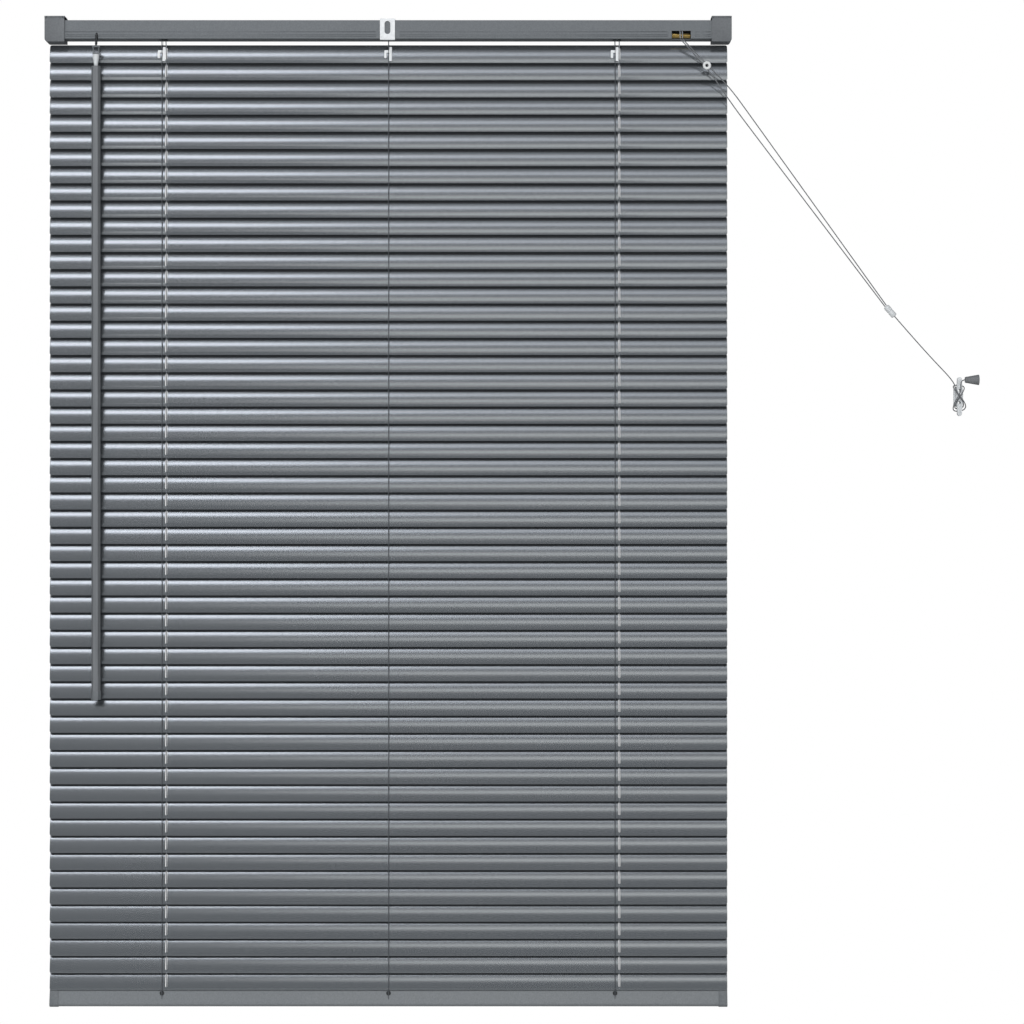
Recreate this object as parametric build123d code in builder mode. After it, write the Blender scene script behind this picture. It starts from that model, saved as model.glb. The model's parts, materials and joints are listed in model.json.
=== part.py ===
"""Venetian blind, 90 x 130 cm: steel head rail, 55 aluminium slats on three ladders, wand tilt, cord lift.

Millimetres. +X is right, -Y is towards the room, +Z is up. The wall is the plane Y = 0, and the origin
is the centre of the four bracket screw holes. The slats are stored closed, front edges down.
"""
import math
import os

from build123d import *

os.makedirs("parts", exist_ok=True)

# ---- driving dimensions ----
BLIND_WIDTH = 900.0  # over the two box brackets
SLAT_COUNT = 55
SLATS_PER_PACK = 5
SLAT_PITCH = 22.55
SLAT_SHORTFALL = 10.0  # how much shorter than the blind a slat is
SLAT_WIDTH = 25.0
SLAT_THICKNESS = 0.45
SLAT_CROWN = 1.6
CLOSED_TILT = 75.0  # degrees from level
FIRST_SLAT_DROP = 42.9  # rail top to the first slat's axis

RAIL_DEPTH = 25.0
RAIL_HEIGHT = 24.6
RAIL_WALL = 0.8
RAIL_LIP = 2.6
RAIL_TOP = 11.4
RAIL_CORNER = 1.2
WALL_GAP = 2.2  # wall to the back of the rail
RAIL_END_GAP = 2.0
END_CAP_THICKNESS = 1.5
END_CAP_PLUG = 9.0
FIT_GAP = 0.1  # between pieces that seat in one another

BRACKET_WIDTH = 26.0
BRACKET_HEIGHT = 34.0
BRACKET_WALL = 1.2
BRACKET_CORNER = 4.0
BRACKET_FRONT_GAP = 1.1  # rail face to the bracket's front edge
COVER_THICKNESS = 1.2
COVER_GAP = 0.3
HINGE_RADIUS = 1.4
HINGE_PIN = 0.7
HINGE_DROP = 1.8  # bracket top to the hinge axis
EAR_LENGTH = 2.4
SCREW_HOLE = 4.2
SCREW_SPACING = 14.0

CLIP_WIDTH = 19.7
CLIP_SHIFT = -0.95
CLIP_WALL = 1.2
CLIP_SLOT_WIDTH = 7.5
CLIP_SLOT_HEIGHT = 17.0
CLIP_SLOT_Z = 1.4
CLIP_RISE = 0.6  # rail top to the strap
CLIP_HOOK = 3.6

LADDER_SPACING = 297.5
STRING_DIAMETER = 0.8
STRING_CLEARANCE = 0.55
STRING_RISE = 6.5  # first slat's top edge down to where the strings part from their heads
LIFT_CORD_DIAMETER = 1.4
LIFT_CORD_SHIFT = 5.5  # ladder to lift cord
ROUTE_SLOT_LENGTH = 17.0
ROUTE_SLOT_WIDTH = 3.6

ROD_SIDE = 5.0
ROD_GAP = 0.06
ROD_OVERHANG = 14.0
DRUM_RADIUS = 9.2
DRUM_GROOVE = 0.8
DRUM_WIDTH = 5.0
DRUM_RISE = 3.2  # rail floor to the drums
JOURNAL_RADIUS = 4.5
JOURNAL_LENGTH = 2.0
JOURNAL_GAP = 0.05
CRADLE_WALL = 1.2
CRADLE_FLOOR = 1.5
CRADLE_LENGTH = 20.0
EYELET_RADIUS = 2.1
EYELET_BORE = 1.15

TILTER_INSET = 68.0  # blind end to the wand
TILTER_LENGTH = 20.0
TILTER_WALL = 2.5
GEAR_RADIUS = 5.0
GEAR_TEETH = 24
TOOTH_DEPTH = 0.5
GEAR_WIDTH = 5.0
WORM_RADIUS = 2.0
WORM_LENGTH = 9.0
WORM_PITCH = 1.3
MESH_GAP = 0.25
STEM_RADIUS = 1.6
STEM_GAP = 0.35
EYE_Z = -24.5
BALL_RADIUS = 2.5
NECK_RADIUS = 1.1
RING_HALF_HEIGHT = 1.1
LUG_WIDTH = 9.8
LUG_DEPTH = 3.0
HOOK_WIRE = 0.8
HOOK_HALF_WIDTH = 3.6
HOOK_BAR = 2.4

WAND_ACROSS = 10.4
WAND_LENGTH = 829.0
WAND_STAND = 6.8  # rail face to the wand axis
WAND_TOP = -50.0
SLEEVE_LENGTH = 15.4
SLEEVE_TOP_RADIUS = 4.2
SLEEVE_END_RADIUS = 2.7
SHANK_RADIUS = 0.9
TIP_LENGTH = 12.0
TIP_WALL = 0.5
TIP_GAP = 0.05

BOTTOM_WIDTH = 22.0
BOTTOM_THICKNESS = 8.5
BOTTOM_CORNER = 3.0
BOTTOM_WALL = 0.8
BOTTOM_GAP = 1.5734  # last slat's chord to the bottom rail's face, across both
BOTTOM_CAP_LENGTH = 11.5
BOTTOM_CAP_WALL = 0.6
PLUG_RADIUS = 3.0
PLUG_HEIGHT = 1.0
PLUG_OFFSET = 5.5
PLUG_SEAT = 0.02
KNOT_RADIUS = 1.9
STRING_END_GAP = 1.0  # front strings stop this far over the ladder plugs
STRING_FOOT_GAP = 0.33  # and the back strings this far over the bottom rail

LOCK_INSET = 66.0  # blind end to the cord lock
LOCK_WIDTH = 25.0
LOCK_OPENING = 10.5
LOCK_CHEEK = 2.4
LOCK_HEIGHT = 18.0
ROLLER_RADIUS = 3.2
ROLLER_Z = -8.6
ROLLER_SETBACK = 4.7  # rail face to the roller's axis
PAWL_LENGTH = 6.5
PAWL_THICKNESS = 1.6

PULL_CORD_DIAMETER = 1.4
CORD_STAND = 2.2  # pull cords in front of the rail face, clear of open slats
RING_RADIUS = 5.45
RING_BORE = 2.0
RING_THICKNESS = 2.4
JOINER_RADIUS = 4.0
TASSEL_LENGTH = 18.4
TASSEL_SMALL = 4.0
TASSEL_LARGE = 7.0

CLEAT_X = 750.4
CLEAT_Z = -481.5
CLEAT_LENGTH = 51.0
CLEAT_HALF_WIDTH = 4.5
CLEAT_TIP = 3.0
CLEAT_BASE = 3.0
CLEAT_STAND = 11.0
CLEAT_BAR = 5.5
CLEAT_POST = 26.0
CLEAT_HOLE = 3.8
CLEAT_HOLE_SPACING = 16.0

# ---- places worked out from them ----
RAIL_BOTTOM = RAIL_TOP - RAIL_HEIGHT
RAIL_Y = -WALL_GAP - RAIL_DEPTH / 2
RAIL_FRONT = -WALL_GAP - RAIL_DEPTH
RAIL_LENGTH = BLIND_WIDTH - 2 * (BRACKET_WALL + RAIL_END_GAP)
RAIL_FLOOR = RAIL_BOTTOM + RAIL_WALL
ROD_Z = RAIL_FLOOR + DRUM_RADIUS + DRUM_RISE
LADDERS = (-LADDER_SPACING, 0.0, LADDER_SPACING)
LIFT_CORDS = (-LADDER_SPACING + LIFT_CORD_SHIFT, LADDER_SPACING + LIFT_CORD_SHIFT)
FIRST_SLAT_Z = RAIL_TOP - FIRST_SLAT_DROP
LAST_SLAT_Z = FIRST_SLAT_Z - (SLAT_COUNT - 1) * SLAT_PITCH
SLAT_LENGTH = BLIND_WIDTH - SLAT_SHORTFALL
TILTER_X = TILTER_INSET - BLIND_WIDTH / 2
LOCK_X = BLIND_WIDTH / 2 - LOCK_INSET
WAND_Y = RAIL_FRONT - WAND_STAND
TILT = math.radians(CLOSED_TILT)
BOTTOM_Z = LAST_SLAT_Z - (BOTTOM_THICKNESS / 2 + BOTTOM_GAP) / math.cos(TILT)
FRONT_WAY = Vector(0, -math.cos(TILT), -math.sin(TILT))
STRING_OUT = SLAT_WIDTH / 2 * math.cos(TILT) + STRING_DIAMETER / 2 + STRING_CLEARANCE
STRING_INSIDE = STRING_OUT - STRING_DIAMETER / 2
PLUG_FACE = BOTTOM_THICKNESS / 2 + PLUG_HEIGHT + PLUG_SEAT
PLUG_MEET = (PLUG_FACE * math.sin(TILT) - STRING_INSIDE) / math.cos(TILT)  # along the face
FRONT_STRING_RISE = PLUG_MEET * math.sin(TILT) + PLUG_FACE * math.cos(TILT) + STRING_END_GAP
FOOT_OUT = (STRING_INSIDE - BOTTOM_WIDTH / 2 * math.cos(TILT)) / math.sin(TILT)
BACK_STRING_RISE = BOTTOM_WIDTH / 2 * math.sin(TILT) - FOOT_OUT * math.cos(TILT) + STRING_FOOT_GAP
STRING_TOP = FIRST_SLAT_Z + SLAT_WIDTH / 2 * math.sin(TILT) - STRING_RISE
BRACKET_TOP = BRACKET_HEIGHT / 2
CORD_Y = RAIL_FRONT - CORD_STAND
BRACKET_DEPTH = -RAIL_FRONT + BRACKET_FRONT_GAP
HINGE_Y = -BRACKET_DEPTH - COVER_GAP - COVER_THICKNESS / 2
HINGE_Z = BRACKET_TOP - HINGE_DROP
ROLLER_Y = RAIL_FRONT + ROLLER_SETBACK
MESH_DISTANCE = GEAR_RADIUS + WORM_RADIUS + MESH_GAP
EYE_POINT = Vector(TILTER_X, WAND_Y, EYE_Z)
EYE_REACH = math.hypot(WAND_Y - RAIL_Y, EYE_Z - ROD_Z)
STEM_REACH = math.sqrt(EYE_REACH**2 - MESH_DISTANCE**2)
STEM_SLANT = math.atan2(RAIL_Y - WAND_Y, ROD_Z - EYE_Z) - math.asin(MESH_DISTANCE / EYE_REACH)
STEM_WAY = Vector(0, -math.sin(STEM_SLANT), -math.cos(STEM_SLANT))
WORM_POINT = EYE_POINT - STEM_WAY * STEM_REACH
FACE_WAY = Vector(1, 0, 0).cross(FRONT_WAY)  # a closed slat's normal, on its hollow side


def slat_z(number):
    """Height of a slat's axis; slat 1 is the top one."""
    return FIRST_SLAT_Z - (number - 1) * SLAT_PITCH


def closed_plane(x, z=0.0):
    """Section plane of a closed slat: local X runs to its front edge, local Y to its hollow side."""
    return Plane(origin=(x, RAIL_Y, z), x_dir=FRONT_WAY, z_dir=(1, 0, 0))


def section_plane(x):
    """Section plane across the head rail: local X is +Y, local Y is +Z, and it faces +X."""
    return Plane(origin=(x, 0, 0), x_dir=(0, 1, 0), z_dir=(1, 0, 0))


def save(piece, name):
    """Label a finished piece and write its STEP file."""
    piece.part.label = name
    export_step(piece.part, f"parts/{name}.step")


# ---- head rail: roll-formed channel, open at the top, with lips rolled inwards ----
with BuildPart() as head_rail:
    with BuildSketch(section_plane(-RAIL_LENGTH / 2)):
        with Locations((RAIL_Y, RAIL_TOP - RAIL_HEIGHT / 2)):
            RectangleRounded(RAIL_DEPTH, RAIL_HEIGHT, RAIL_CORNER)
            Rectangle(RAIL_DEPTH - 2 * RAIL_WALL, RAIL_HEIGHT - 2 * RAIL_WALL, mode=Mode.SUBTRACT)
        with Locations((RAIL_Y, RAIL_TOP)):
            Rectangle(RAIL_DEPTH - 2 * RAIL_LIP, 4 * RAIL_WALL, mode=Mode.SUBTRACT)
    extrude(amount=RAIL_LENGTH)
    with Locations([(x, RAIL_Y, RAIL_BOTTOM) for x in LADDERS]):
        Box(8.0, 2 * DRUM_RADIUS + 2.6, 4 * RAIL_WALL, mode=Mode.SUBTRACT)
    with Locations([(x, RAIL_Y - LIFT_CORD_SHIFT, RAIL_BOTTOM) for x in LIFT_CORDS]):
        Cylinder(EYELET_RADIUS + FIT_GAP, 4 * RAIL_WALL, mode=Mode.SUBTRACT)
    with Locations((LOCK_X, RAIL_FRONT, RAIL_BOTTOM)):
        Box(LOCK_WIDTH, 12.0, 2 * LOCK_OPENING, mode=Mode.SUBTRACT)
    with Locations((TILTER_X, RAIL_FRONT, RAIL_BOTTOM)):
        Box(2 * (STEM_RADIUS + STEM_GAP), 13.0, 11.0, mode=Mode.SUBTRACT)
    with BuildSketch(Plane(origin=WORM_POINT, z_dir=STEM_WAY)):
        Circle(STEM_RADIUS + STEM_GAP)
    extrude(amount=STEM_REACH, mode=Mode.SUBTRACT)
save(head_rail, "head_rail")

# ---- rail end caps: a plate over each end, with a plug inside the channel ----
with BuildPart() as rail_end_caps:
    for side in (-1, 1):
        with BuildSketch(section_plane(side * (RAIL_LENGTH / 2 + FIT_GAP))):
            with Locations((RAIL_Y, RAIL_TOP - RAIL_HEIGHT / 2)):
                RectangleRounded(RAIL_DEPTH, RAIL_HEIGHT, RAIL_CORNER)
        extrude(amount=side * END_CAP_THICKNESS)
        with BuildSketch(section_plane(side * (RAIL_LENGTH / 2 + FIT_GAP))):
            with Locations((RAIL_Y, RAIL_TOP - RAIL_HEIGHT / 2 - RAIL_WALL)):
                Rectangle(RAIL_DEPTH - 4 * RAIL_WALL, RAIL_HEIGHT - 5 * RAIL_WALL)
                Rectangle(RAIL_DEPTH - 8 * RAIL_WALL, RAIL_HEIGHT - 9 * RAIL_WALL, mode=Mode.SUBTRACT)
        extrude(amount=-side * END_CAP_PLUG)
save(rail_end_caps, "rail_end_caps")

# ---- box brackets, open towards the blind and at the front, with ears for the cover's hinge ----
for side, hand in ((-1, "left"), (1, "right")):
    middle = side * (BLIND_WIDTH - BRACKET_WIDTH) / 2
    outer = side * BLIND_WIDTH / 2
    inner = outer - side * BRACKET_WIDTH
    with BuildPart() as box_bracket:
        with Locations((middle, -BRACKET_DEPTH / 2, 0)):
            Box(BRACKET_WIDTH, BRACKET_DEPTH, BRACKET_HEIGHT)
        rounded = edges().filter_by(Axis.Y).sort_by(Axis.Z)[:2].sort_by(Axis.X)[0 if side < 0 else -1]
        fillet(rounded, BRACKET_CORNER)
        floor = RAIL_BOTTOM - FIT_GAP
        hollow_height = BRACKET_TOP - BRACKET_WALL - floor
        hollow_middle = (middle - side * BRACKET_WALL, -BRACKET_DEPTH / 2 - BRACKET_WALL)
        with Locations((*hollow_middle, floor + hollow_height / 2)):
            Box(BRACKET_WIDTH, BRACKET_DEPTH, hollow_height, mode=Mode.SUBTRACT)
        with Locations((middle, -BRACKET_DEPTH, BRACKET_TOP)):
            hinge_room = 2 * (HINGE_DROP + HINGE_RADIUS + COVER_GAP)
            Box(BRACKET_WIDTH, 2 * BRACKET_FRONT_GAP, hinge_room, mode=Mode.SUBTRACT)
        for end, way in ((outer, -side), (inner, side)):
            with BuildSketch(section_plane(end)):
                with Locations((HINGE_Y, HINGE_Z)):
                    Circle(HINGE_RADIUS)
                with Locations(((HINGE_Y + RAIL_FRONT) / 2 + 0.3, HINGE_Z)):
                    Rectangle(RAIL_FRONT - HINGE_Y + 0.6, 2 * HINGE_RADIUS)
                with Locations((RAIL_FRONT + 0.8, (HINGE_Z + BRACKET_TOP) / 2)):
                    Rectangle(1.6, HINGE_DROP)
            extrude(amount=way * EAR_LENGTH)
        with BuildSketch(section_plane(outer - side * 0.5)):
            with Locations((HINGE_Y, HINGE_Z)):
                Circle(HINGE_PIN)
        extrude(amount=-side * (BRACKET_WIDTH - 1.0))
        screw_heights = (-SCREW_SPACING / 2, SCREW_SPACING / 2)
        with Locations([Location((middle, 0, z), (90, 0, 0)) for z in screw_heights]):
            Cylinder(SCREW_HOLE / 2, 4 * BRACKET_WALL, mode=Mode.SUBTRACT)
    save(box_bracket, f"box_bracket_{hand}")

    with BuildPart() as bracket_cover:
        cover_top = HINGE_Z - HINGE_RADIUS - COVER_GAP
        cover_height = cover_top + BRACKET_TOP
        with Locations((middle, HINGE_Y, cover_top - cover_height / 2)):
            Box(BRACKET_WIDTH, COVER_THICKNESS, cover_height)
        lower_edges = edges().filter_by(Axis.Y).sort_by(Axis.Z)[:2].sort_by(Axis.X)
        fillet(lower_edges[0 if side < 0 else -1], BRACKET_CORNER)
        knuckle = BRACKET_WIDTH - 2 * (EAR_LENGTH + COVER_GAP)
        with BuildSketch(section_plane(middle - knuckle / 2)):
            with Locations((HINGE_Y, HINGE_Z)):
                Circle(HINGE_RADIUS)
            with Locations((HINGE_Y, HINGE_Z - HINGE_RADIUS)):
                Rectangle(COVER_THICKNESS, 2 * HINGE_RADIUS)
            with Locations((HINGE_Y, HINGE_Z)):
                Circle(HINGE_PIN + JOURNAL_GAP, mode=Mode.SUBTRACT)
        extrude(amount=knuckle)
    save(bracket_cover, f"bracket_cover_{hand}")

# ---- centre support clip: a wall plate, a strap over the rail and a front plate hooked under it ----
with BuildPart() as centre_support_clip:
    strap_bottom = RAIL_TOP + CLIP_RISE
    front_inside = RAIL_FRONT - 0.5
    hook_top = RAIL_BOTTOM - 0.3
    with BuildSketch(section_plane(CLIP_SHIFT - CLIP_WIDTH / 2)):
        with BuildLine():
            Polyline(
                (0, strap_bottom + CLIP_WALL),
                (front_inside - CLIP_WALL, strap_bottom + CLIP_WALL),
                (front_inside - CLIP_WALL, hook_top - CLIP_WALL),
                (front_inside + CLIP_HOOK, hook_top - CLIP_WALL),
                (front_inside + CLIP_HOOK, hook_top),
                (front_inside, hook_top),
                (front_inside, strap_bottom),
                (-CLIP_WALL, strap_bottom),
                (-CLIP_WALL, hook_top + 6.0),
                (0, hook_top + 6.0),
                close=True,
            )
        make_face()
    extrude(amount=CLIP_WIDTH)
    slot_place = (CLIP_SHIFT, front_inside, CLIP_SLOT_Z)
    with BuildSketch(Plane(origin=slot_place, x_dir=(1, 0, 0), z_dir=(0, -1, 0))):
        SlotOverall(CLIP_SLOT_HEIGHT, CLIP_SLOT_WIDTH, rotation=90)
    extrude(amount=2 * CLIP_WALL, mode=Mode.SUBTRACT)
    with Locations(Location((CLIP_SHIFT, 0, CLIP_SLOT_Z), (90, 0, 0))):
        Cylinder(SCREW_HOLE / 2, 4 * CLIP_WALL, mode=Mode.SUBTRACT)
save(centre_support_clip, "centre_support_clip")

# ---- tilter: housing, worm on a slanting stem, worm gear on the square tilt rod ----
with BuildPart() as tilter_housing:
    housing_floor = RAIL_FLOOR + FIT_GAP
    housing_depth = RAIL_DEPTH - 2 * RAIL_WALL - 1.0
    housing_height = ROD_Z + JOURNAL_RADIUS + 4.0 - housing_floor
    with Locations((TILTER_X, RAIL_Y, housing_floor + housing_height / 2)):
        Box(TILTER_LENGTH, housing_depth, housing_height)
    with Locations((TILTER_X, RAIL_Y, housing_floor + housing_height / 2 + CRADLE_FLOOR)):
        hollow_length = TILTER_LENGTH - 2 * TILTER_WALL
        Box(hollow_length, housing_depth - 2 * CRADLE_WALL, housing_height, mode=Mode.SUBTRACT)
    with BuildSketch(section_plane(TILTER_X - TILTER_LENGTH)):
        with Locations((RAIL_Y, ROD_Z)):
            Circle(JOURNAL_RADIUS + JOURNAL_GAP)
    extrude(amount=2 * TILTER_LENGTH, mode=Mode.SUBTRACT)
    with BuildSketch(Plane(origin=WORM_POINT, z_dir=STEM_WAY)):
        Circle(WORM_RADIUS + STEM_GAP)
    extrude(amount=2 * STEM_REACH, mode=Mode.SUBTRACT)
save(tilter_housing, "tilter_housing")

with BuildPart() as worm_gear:
    with BuildSketch(section_plane(TILTER_X - GEAR_WIDTH / 2)):
        with Locations((RAIL_Y, ROD_Z)):
            Circle(GEAR_RADIUS)
            with PolarLocations(GEAR_RADIUS, GEAR_TEETH):
                Rectangle(2 * TOOTH_DEPTH, TOOTH_DEPTH, mode=Mode.SUBTRACT)
    extrude(amount=GEAR_WIDTH)
    with BuildSketch(section_plane(TILTER_X - TILTER_LENGTH / 2)):
        with Locations((RAIL_Y, ROD_Z)):
            Circle(JOURNAL_RADIUS)
    extrude(amount=TILTER_LENGTH)
    with BuildSketch(section_plane(TILTER_X - TILTER_LENGTH)):
        with Locations((RAIL_Y, ROD_Z)):
            Rectangle(ROD_SIDE + 2 * ROD_GAP, ROD_SIDE + 2 * ROD_GAP)
    extrude(amount=2 * TILTER_LENGTH, mode=Mode.SUBTRACT)
save(worm_gear, "worm_gear")

with BuildPart() as worm:
    with BuildSketch(Plane(origin=WORM_POINT - STEM_WAY * (WORM_LENGTH / 2), z_dir=STEM_WAY)):
        Circle(WORM_RADIUS)
    extrude(amount=WORM_LENGTH)
    turns = int(WORM_LENGTH / WORM_PITCH)
    for turn in range(1, turns):
        groove = WORM_POINT + STEM_WAY * (turn * WORM_PITCH - WORM_LENGTH / 2)
        with BuildSketch(Plane(origin=groove, z_dir=STEM_WAY)):
            Circle(WORM_RADIUS + 0.1)
            Circle(WORM_RADIUS - TOOTH_DEPTH, mode=Mode.SUBTRACT)
        extrude(amount=WORM_PITCH / 2, mode=Mode.SUBTRACT)
    with BuildSketch(Plane(origin=WORM_POINT + STEM_WAY * (WORM_LENGTH / 2), z_dir=STEM_WAY)):
        Circle(STEM_RADIUS)
    extrude(amount=STEM_REACH - WORM_LENGTH / 2)
    with BuildSketch(Plane(origin=EYE_POINT - STEM_WAY * (BALL_RADIUS + 1.5), z_dir=STEM_WAY)):
        Circle(STEM_RADIUS + 0.1)
        Circle(NECK_RADIUS, mode=Mode.SUBTRACT)
    extrude(amount=BALL_RADIUS + 1.5, mode=Mode.SUBTRACT)
    with Locations(EYE_POINT):
        Sphere(BALL_RADIUS)
save(worm, "worm")

rod_start = TILTER_X - ROD_OVERHANG
rod_end = LADDER_SPACING + ROD_OVERHANG
with BuildPart() as tilt_rod:
    with BuildSketch(section_plane(rod_start)):
        with Locations((RAIL_Y, ROD_Z)):
            Rectangle(ROD_SIDE, ROD_SIDE)
    extrude(amount=rod_end - rod_start)
save(tilt_rod, "tilt_rod")

# ---- ladder drums on the rod, each in its cradle on the rail's floor ----
journal_half = DRUM_WIDTH / 2 + JOURNAL_LENGTH
with BuildPart() as ladder_drums:
    for x in LADDERS:
        for radius, half in ((DRUM_RADIUS, DRUM_WIDTH / 2), (JOURNAL_RADIUS, journal_half)):
            with BuildSketch(section_plane(x - half)):
                with Locations((RAIL_Y, ROD_Z)):
                    Circle(radius)
            extrude(amount=2 * half)
        with BuildSketch(section_plane(x - DRUM_WIDTH / 6)):
            with Locations((RAIL_Y, ROD_Z)):
                Circle(DRUM_RADIUS + 1.0)
                Circle(DRUM_RADIUS - DRUM_GROOVE, mode=Mode.SUBTRACT)
        extrude(amount=DRUM_WIDTH / 3, mode=Mode.SUBTRACT)
        with BuildSketch(section_plane(x - DRUM_WIDTH)):
            with Locations((RAIL_Y, ROD_Z)):
                Rectangle(ROD_SIDE + 2 * ROD_GAP, ROD_SIDE + 2 * ROD_GAP)
        extrude(amount=2 * DRUM_WIDTH, mode=Mode.SUBTRACT)
save(ladder_drums, "ladder_drums")

cradle_depth = RAIL_DEPTH - 2 * RAIL_WALL - 1.0
cradle_floor = RAIL_FLOOR + FIT_GAP
with BuildPart() as drum_cradles:
    for x in LADDERS:
        with Locations((x, RAIL_Y, cradle_floor + CRADLE_FLOOR / 2)):
            Box(CRADLE_LENGTH, cradle_depth, CRADLE_FLOOR)
            Box(4.0, 2 * DRUM_RADIUS + 2.0, 2 * CRADLE_FLOOR, mode=Mode.SUBTRACT)
        for side in (-1, 1):
            cheek = x + side * (DRUM_WIDTH / 2 + 0.3)
            with BuildSketch(section_plane(cheek)):
                with Locations((RAIL_Y, (cradle_floor + ROD_Z) / 2)):
                    Rectangle(2 * JOURNAL_RADIUS + 5.0, ROD_Z - cradle_floor)
                with Locations((RAIL_Y, ROD_Z)):
                    Circle(JOURNAL_RADIUS + 2.5)
                    Circle(JOURNAL_RADIUS + JOURNAL_GAP, mode=Mode.SUBTRACT)
            extrude(amount=side * CRADLE_WALL)
        with Locations((x + LIFT_CORD_SHIFT, RAIL_Y - LIFT_CORD_SHIFT, cradle_floor)):
            Cylinder(EYELET_RADIUS + FIT_GAP, 4 * CRADLE_FLOOR, mode=Mode.SUBTRACT)
save(drum_cradles, "drum_cradles")

with BuildPart() as cord_eyelets:
    for x in LIFT_CORDS:
        with Locations((x, RAIL_Y - LIFT_CORD_SHIFT, RAIL_BOTTOM)):
            Cylinder(EYELET_RADIUS, 4.4)
        with Locations((x, RAIL_Y - LIFT_CORD_SHIFT, RAIL_BOTTOM - 1.7)):
            Cylinder(EYELET_RADIUS + 0.9, 1.0)
        with Locations((x, RAIL_Y - LIFT_CORD_SHIFT, RAIL_BOTTOM)):
            Cylinder(EYELET_BORE, 8.0, mode=Mode.SUBTRACT)
save(cord_eyelets, "cord_eyelets")

# ---- cord lock: open-fronted body, brass roller at the mouth, hinged pawl above it ----
lock_back = RAIL_FRONT + RAIL_WALL + 0.4
lock_depth = 18.0
lock_floor = RAIL_FLOOR + FIT_GAP
with BuildPart() as cord_lock_body:
    with Locations((LOCK_X, lock_back + lock_depth / 2, lock_floor + LOCK_HEIGHT / 2)):
        Box(LOCK_WIDTH + 2 * LOCK_CHEEK, lock_depth, LOCK_HEIGHT)
    with Locations((LOCK_X, lock_back + lock_depth / 2 - 2.0, lock_floor + LOCK_HEIGHT / 2)):
        Box(LOCK_WIDTH, lock_depth, 2 * LOCK_HEIGHT, mode=Mode.SUBTRACT)
    with BuildSketch(section_plane(LOCK_X - LOCK_WIDTH)):
        with Locations((ROLLER_Y, ROLLER_Z)):
            Circle(1.2 + JOURNAL_GAP)
        with Locations((ROLLER_Y + 7.0, ROLLER_Z + 8.0)):
            Circle(1.0 + JOURNAL_GAP)
    extrude(amount=2 * LOCK_WIDTH, mode=Mode.SUBTRACT)
save(cord_lock_body, "cord_lock_body")

with BuildPart() as cord_lock_roller:
    for radius, half in ((ROLLER_RADIUS, LOCK_WIDTH / 2 - 0.5), (1.2, LOCK_WIDTH / 2 + LOCK_CHEEK - 0.4)):
        with BuildSketch(section_plane(LOCK_X - half)):
            with Locations((ROLLER_Y, ROLLER_Z)):
                Circle(radius)
        extrude(amount=2 * half)
save(cord_lock_roller, "cord_lock_roller")

with BuildPart() as cord_lock_pawl:
    with BuildSketch(section_plane(LOCK_X - LOCK_WIDTH / 2 - LOCK_CHEEK + 0.4)):
        with Locations((ROLLER_Y + 7.0, ROLLER_Z + 8.0)):
            Circle(1.0)
    extrude(amount=LOCK_WIDTH + 2 * LOCK_CHEEK - 0.8)
    with BuildSketch(section_plane(LOCK_X - 7.0)):
        with Locations((ROLLER_Y + 7.0, ROLLER_Z + 8.0)):
            Circle(2.0)
        with Locations((ROLLER_Y + 7.0 - PAWL_LENGTH / 2, ROLLER_Z + 8.0)):
            Rectangle(PAWL_LENGTH, PAWL_THICKNESS)
    extrude(amount=14.0)
save(cord_lock_pawl, "cord_lock_pawl")

# ---- slats: crowned aluminium strip, routed for the two lift cords ----
with BuildPart() as slat_form:
    with BuildSketch(closed_plane(-SLAT_LENGTH / 2)):
        with BuildLine():
            half = SLAT_WIDTH / 2
            skin = SLAT_THICKNESS / 2
            ThreePointArc((-half, -skin), (0, -skin - SLAT_CROWN), (half, -skin))
            Line((half, -skin), (half, skin))
            ThreePointArc((half, skin), (0, skin - SLAT_CROWN), (-half, skin))
            Line((-half, skin), (-half, -skin))
        make_face()
    extrude(amount=SLAT_LENGTH)
    for x in LIFT_CORDS:
        with BuildSketch(Plane(origin=(x, RAIL_Y, 0), x_dir=FRONT_WAY, z_dir=FACE_WAY)):
            SlotOverall(ROUTE_SLOT_LENGTH, ROUTE_SLOT_WIDTH)
        extrude(amount=2 * SLAT_CROWN, both=True, mode=Mode.SUBTRACT)

for pack in range(SLAT_COUNT // SLATS_PER_PACK):
    first = pack * SLATS_PER_PACK + 1
    middle_slat = first + SLATS_PER_PACK // 2
    with BuildPart() as single_slat:
        with Locations((0, 0, slat_z(middle_slat))):
            add(slat_form.part)
    save(single_slat, f"slat_{middle_slat:02d}")
    with BuildPart() as slat_pack:
        neighbours = [n for n in range(first, first + SLATS_PER_PACK) if n != middle_slat]
        with Locations([(0, 0, slat_z(number)) for number in neighbours]):
            add(slat_form.part)
    save(slat_pack, f"slat_pack_{pack + 1:02d}")

# ---- ladders: front and back strings, and their heads that rise to the drums ----
for side, place, rise in ((-1, "front", FRONT_STRING_RISE), (1, "back", BACK_STRING_RISE)):
    with BuildPart() as ladder_strings:
        for x in LADDERS:
            foot = (x, RAIL_Y + side * STRING_OUT, BOTTOM_Z + rise)
            with BuildSketch(Plane(origin=foot, z_dir=(0, 0, 1))):
                Circle(STRING_DIAMETER / 2)
            extrude(amount=STRING_TOP - BOTTOM_Z - rise)
    save(ladder_strings, f"ladder_{place}_strings")

with BuildPart() as ladder_heads:
    for x in LADDERS:
        for side in (-1, 1):
            start = Vector(x, RAIL_Y + side * STRING_OUT, STRING_TOP + 0.3)
            end = Vector(x, RAIL_Y + side * (DRUM_RADIUS + STRING_DIAMETER), ROD_Z - 3.0)
            with BuildSketch(Plane(origin=start, z_dir=end - start)):
                Circle(STRING_DIAMETER / 2)
            extrude(amount=(end - start).length)
save(ladder_heads, "ladder_heads")

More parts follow.
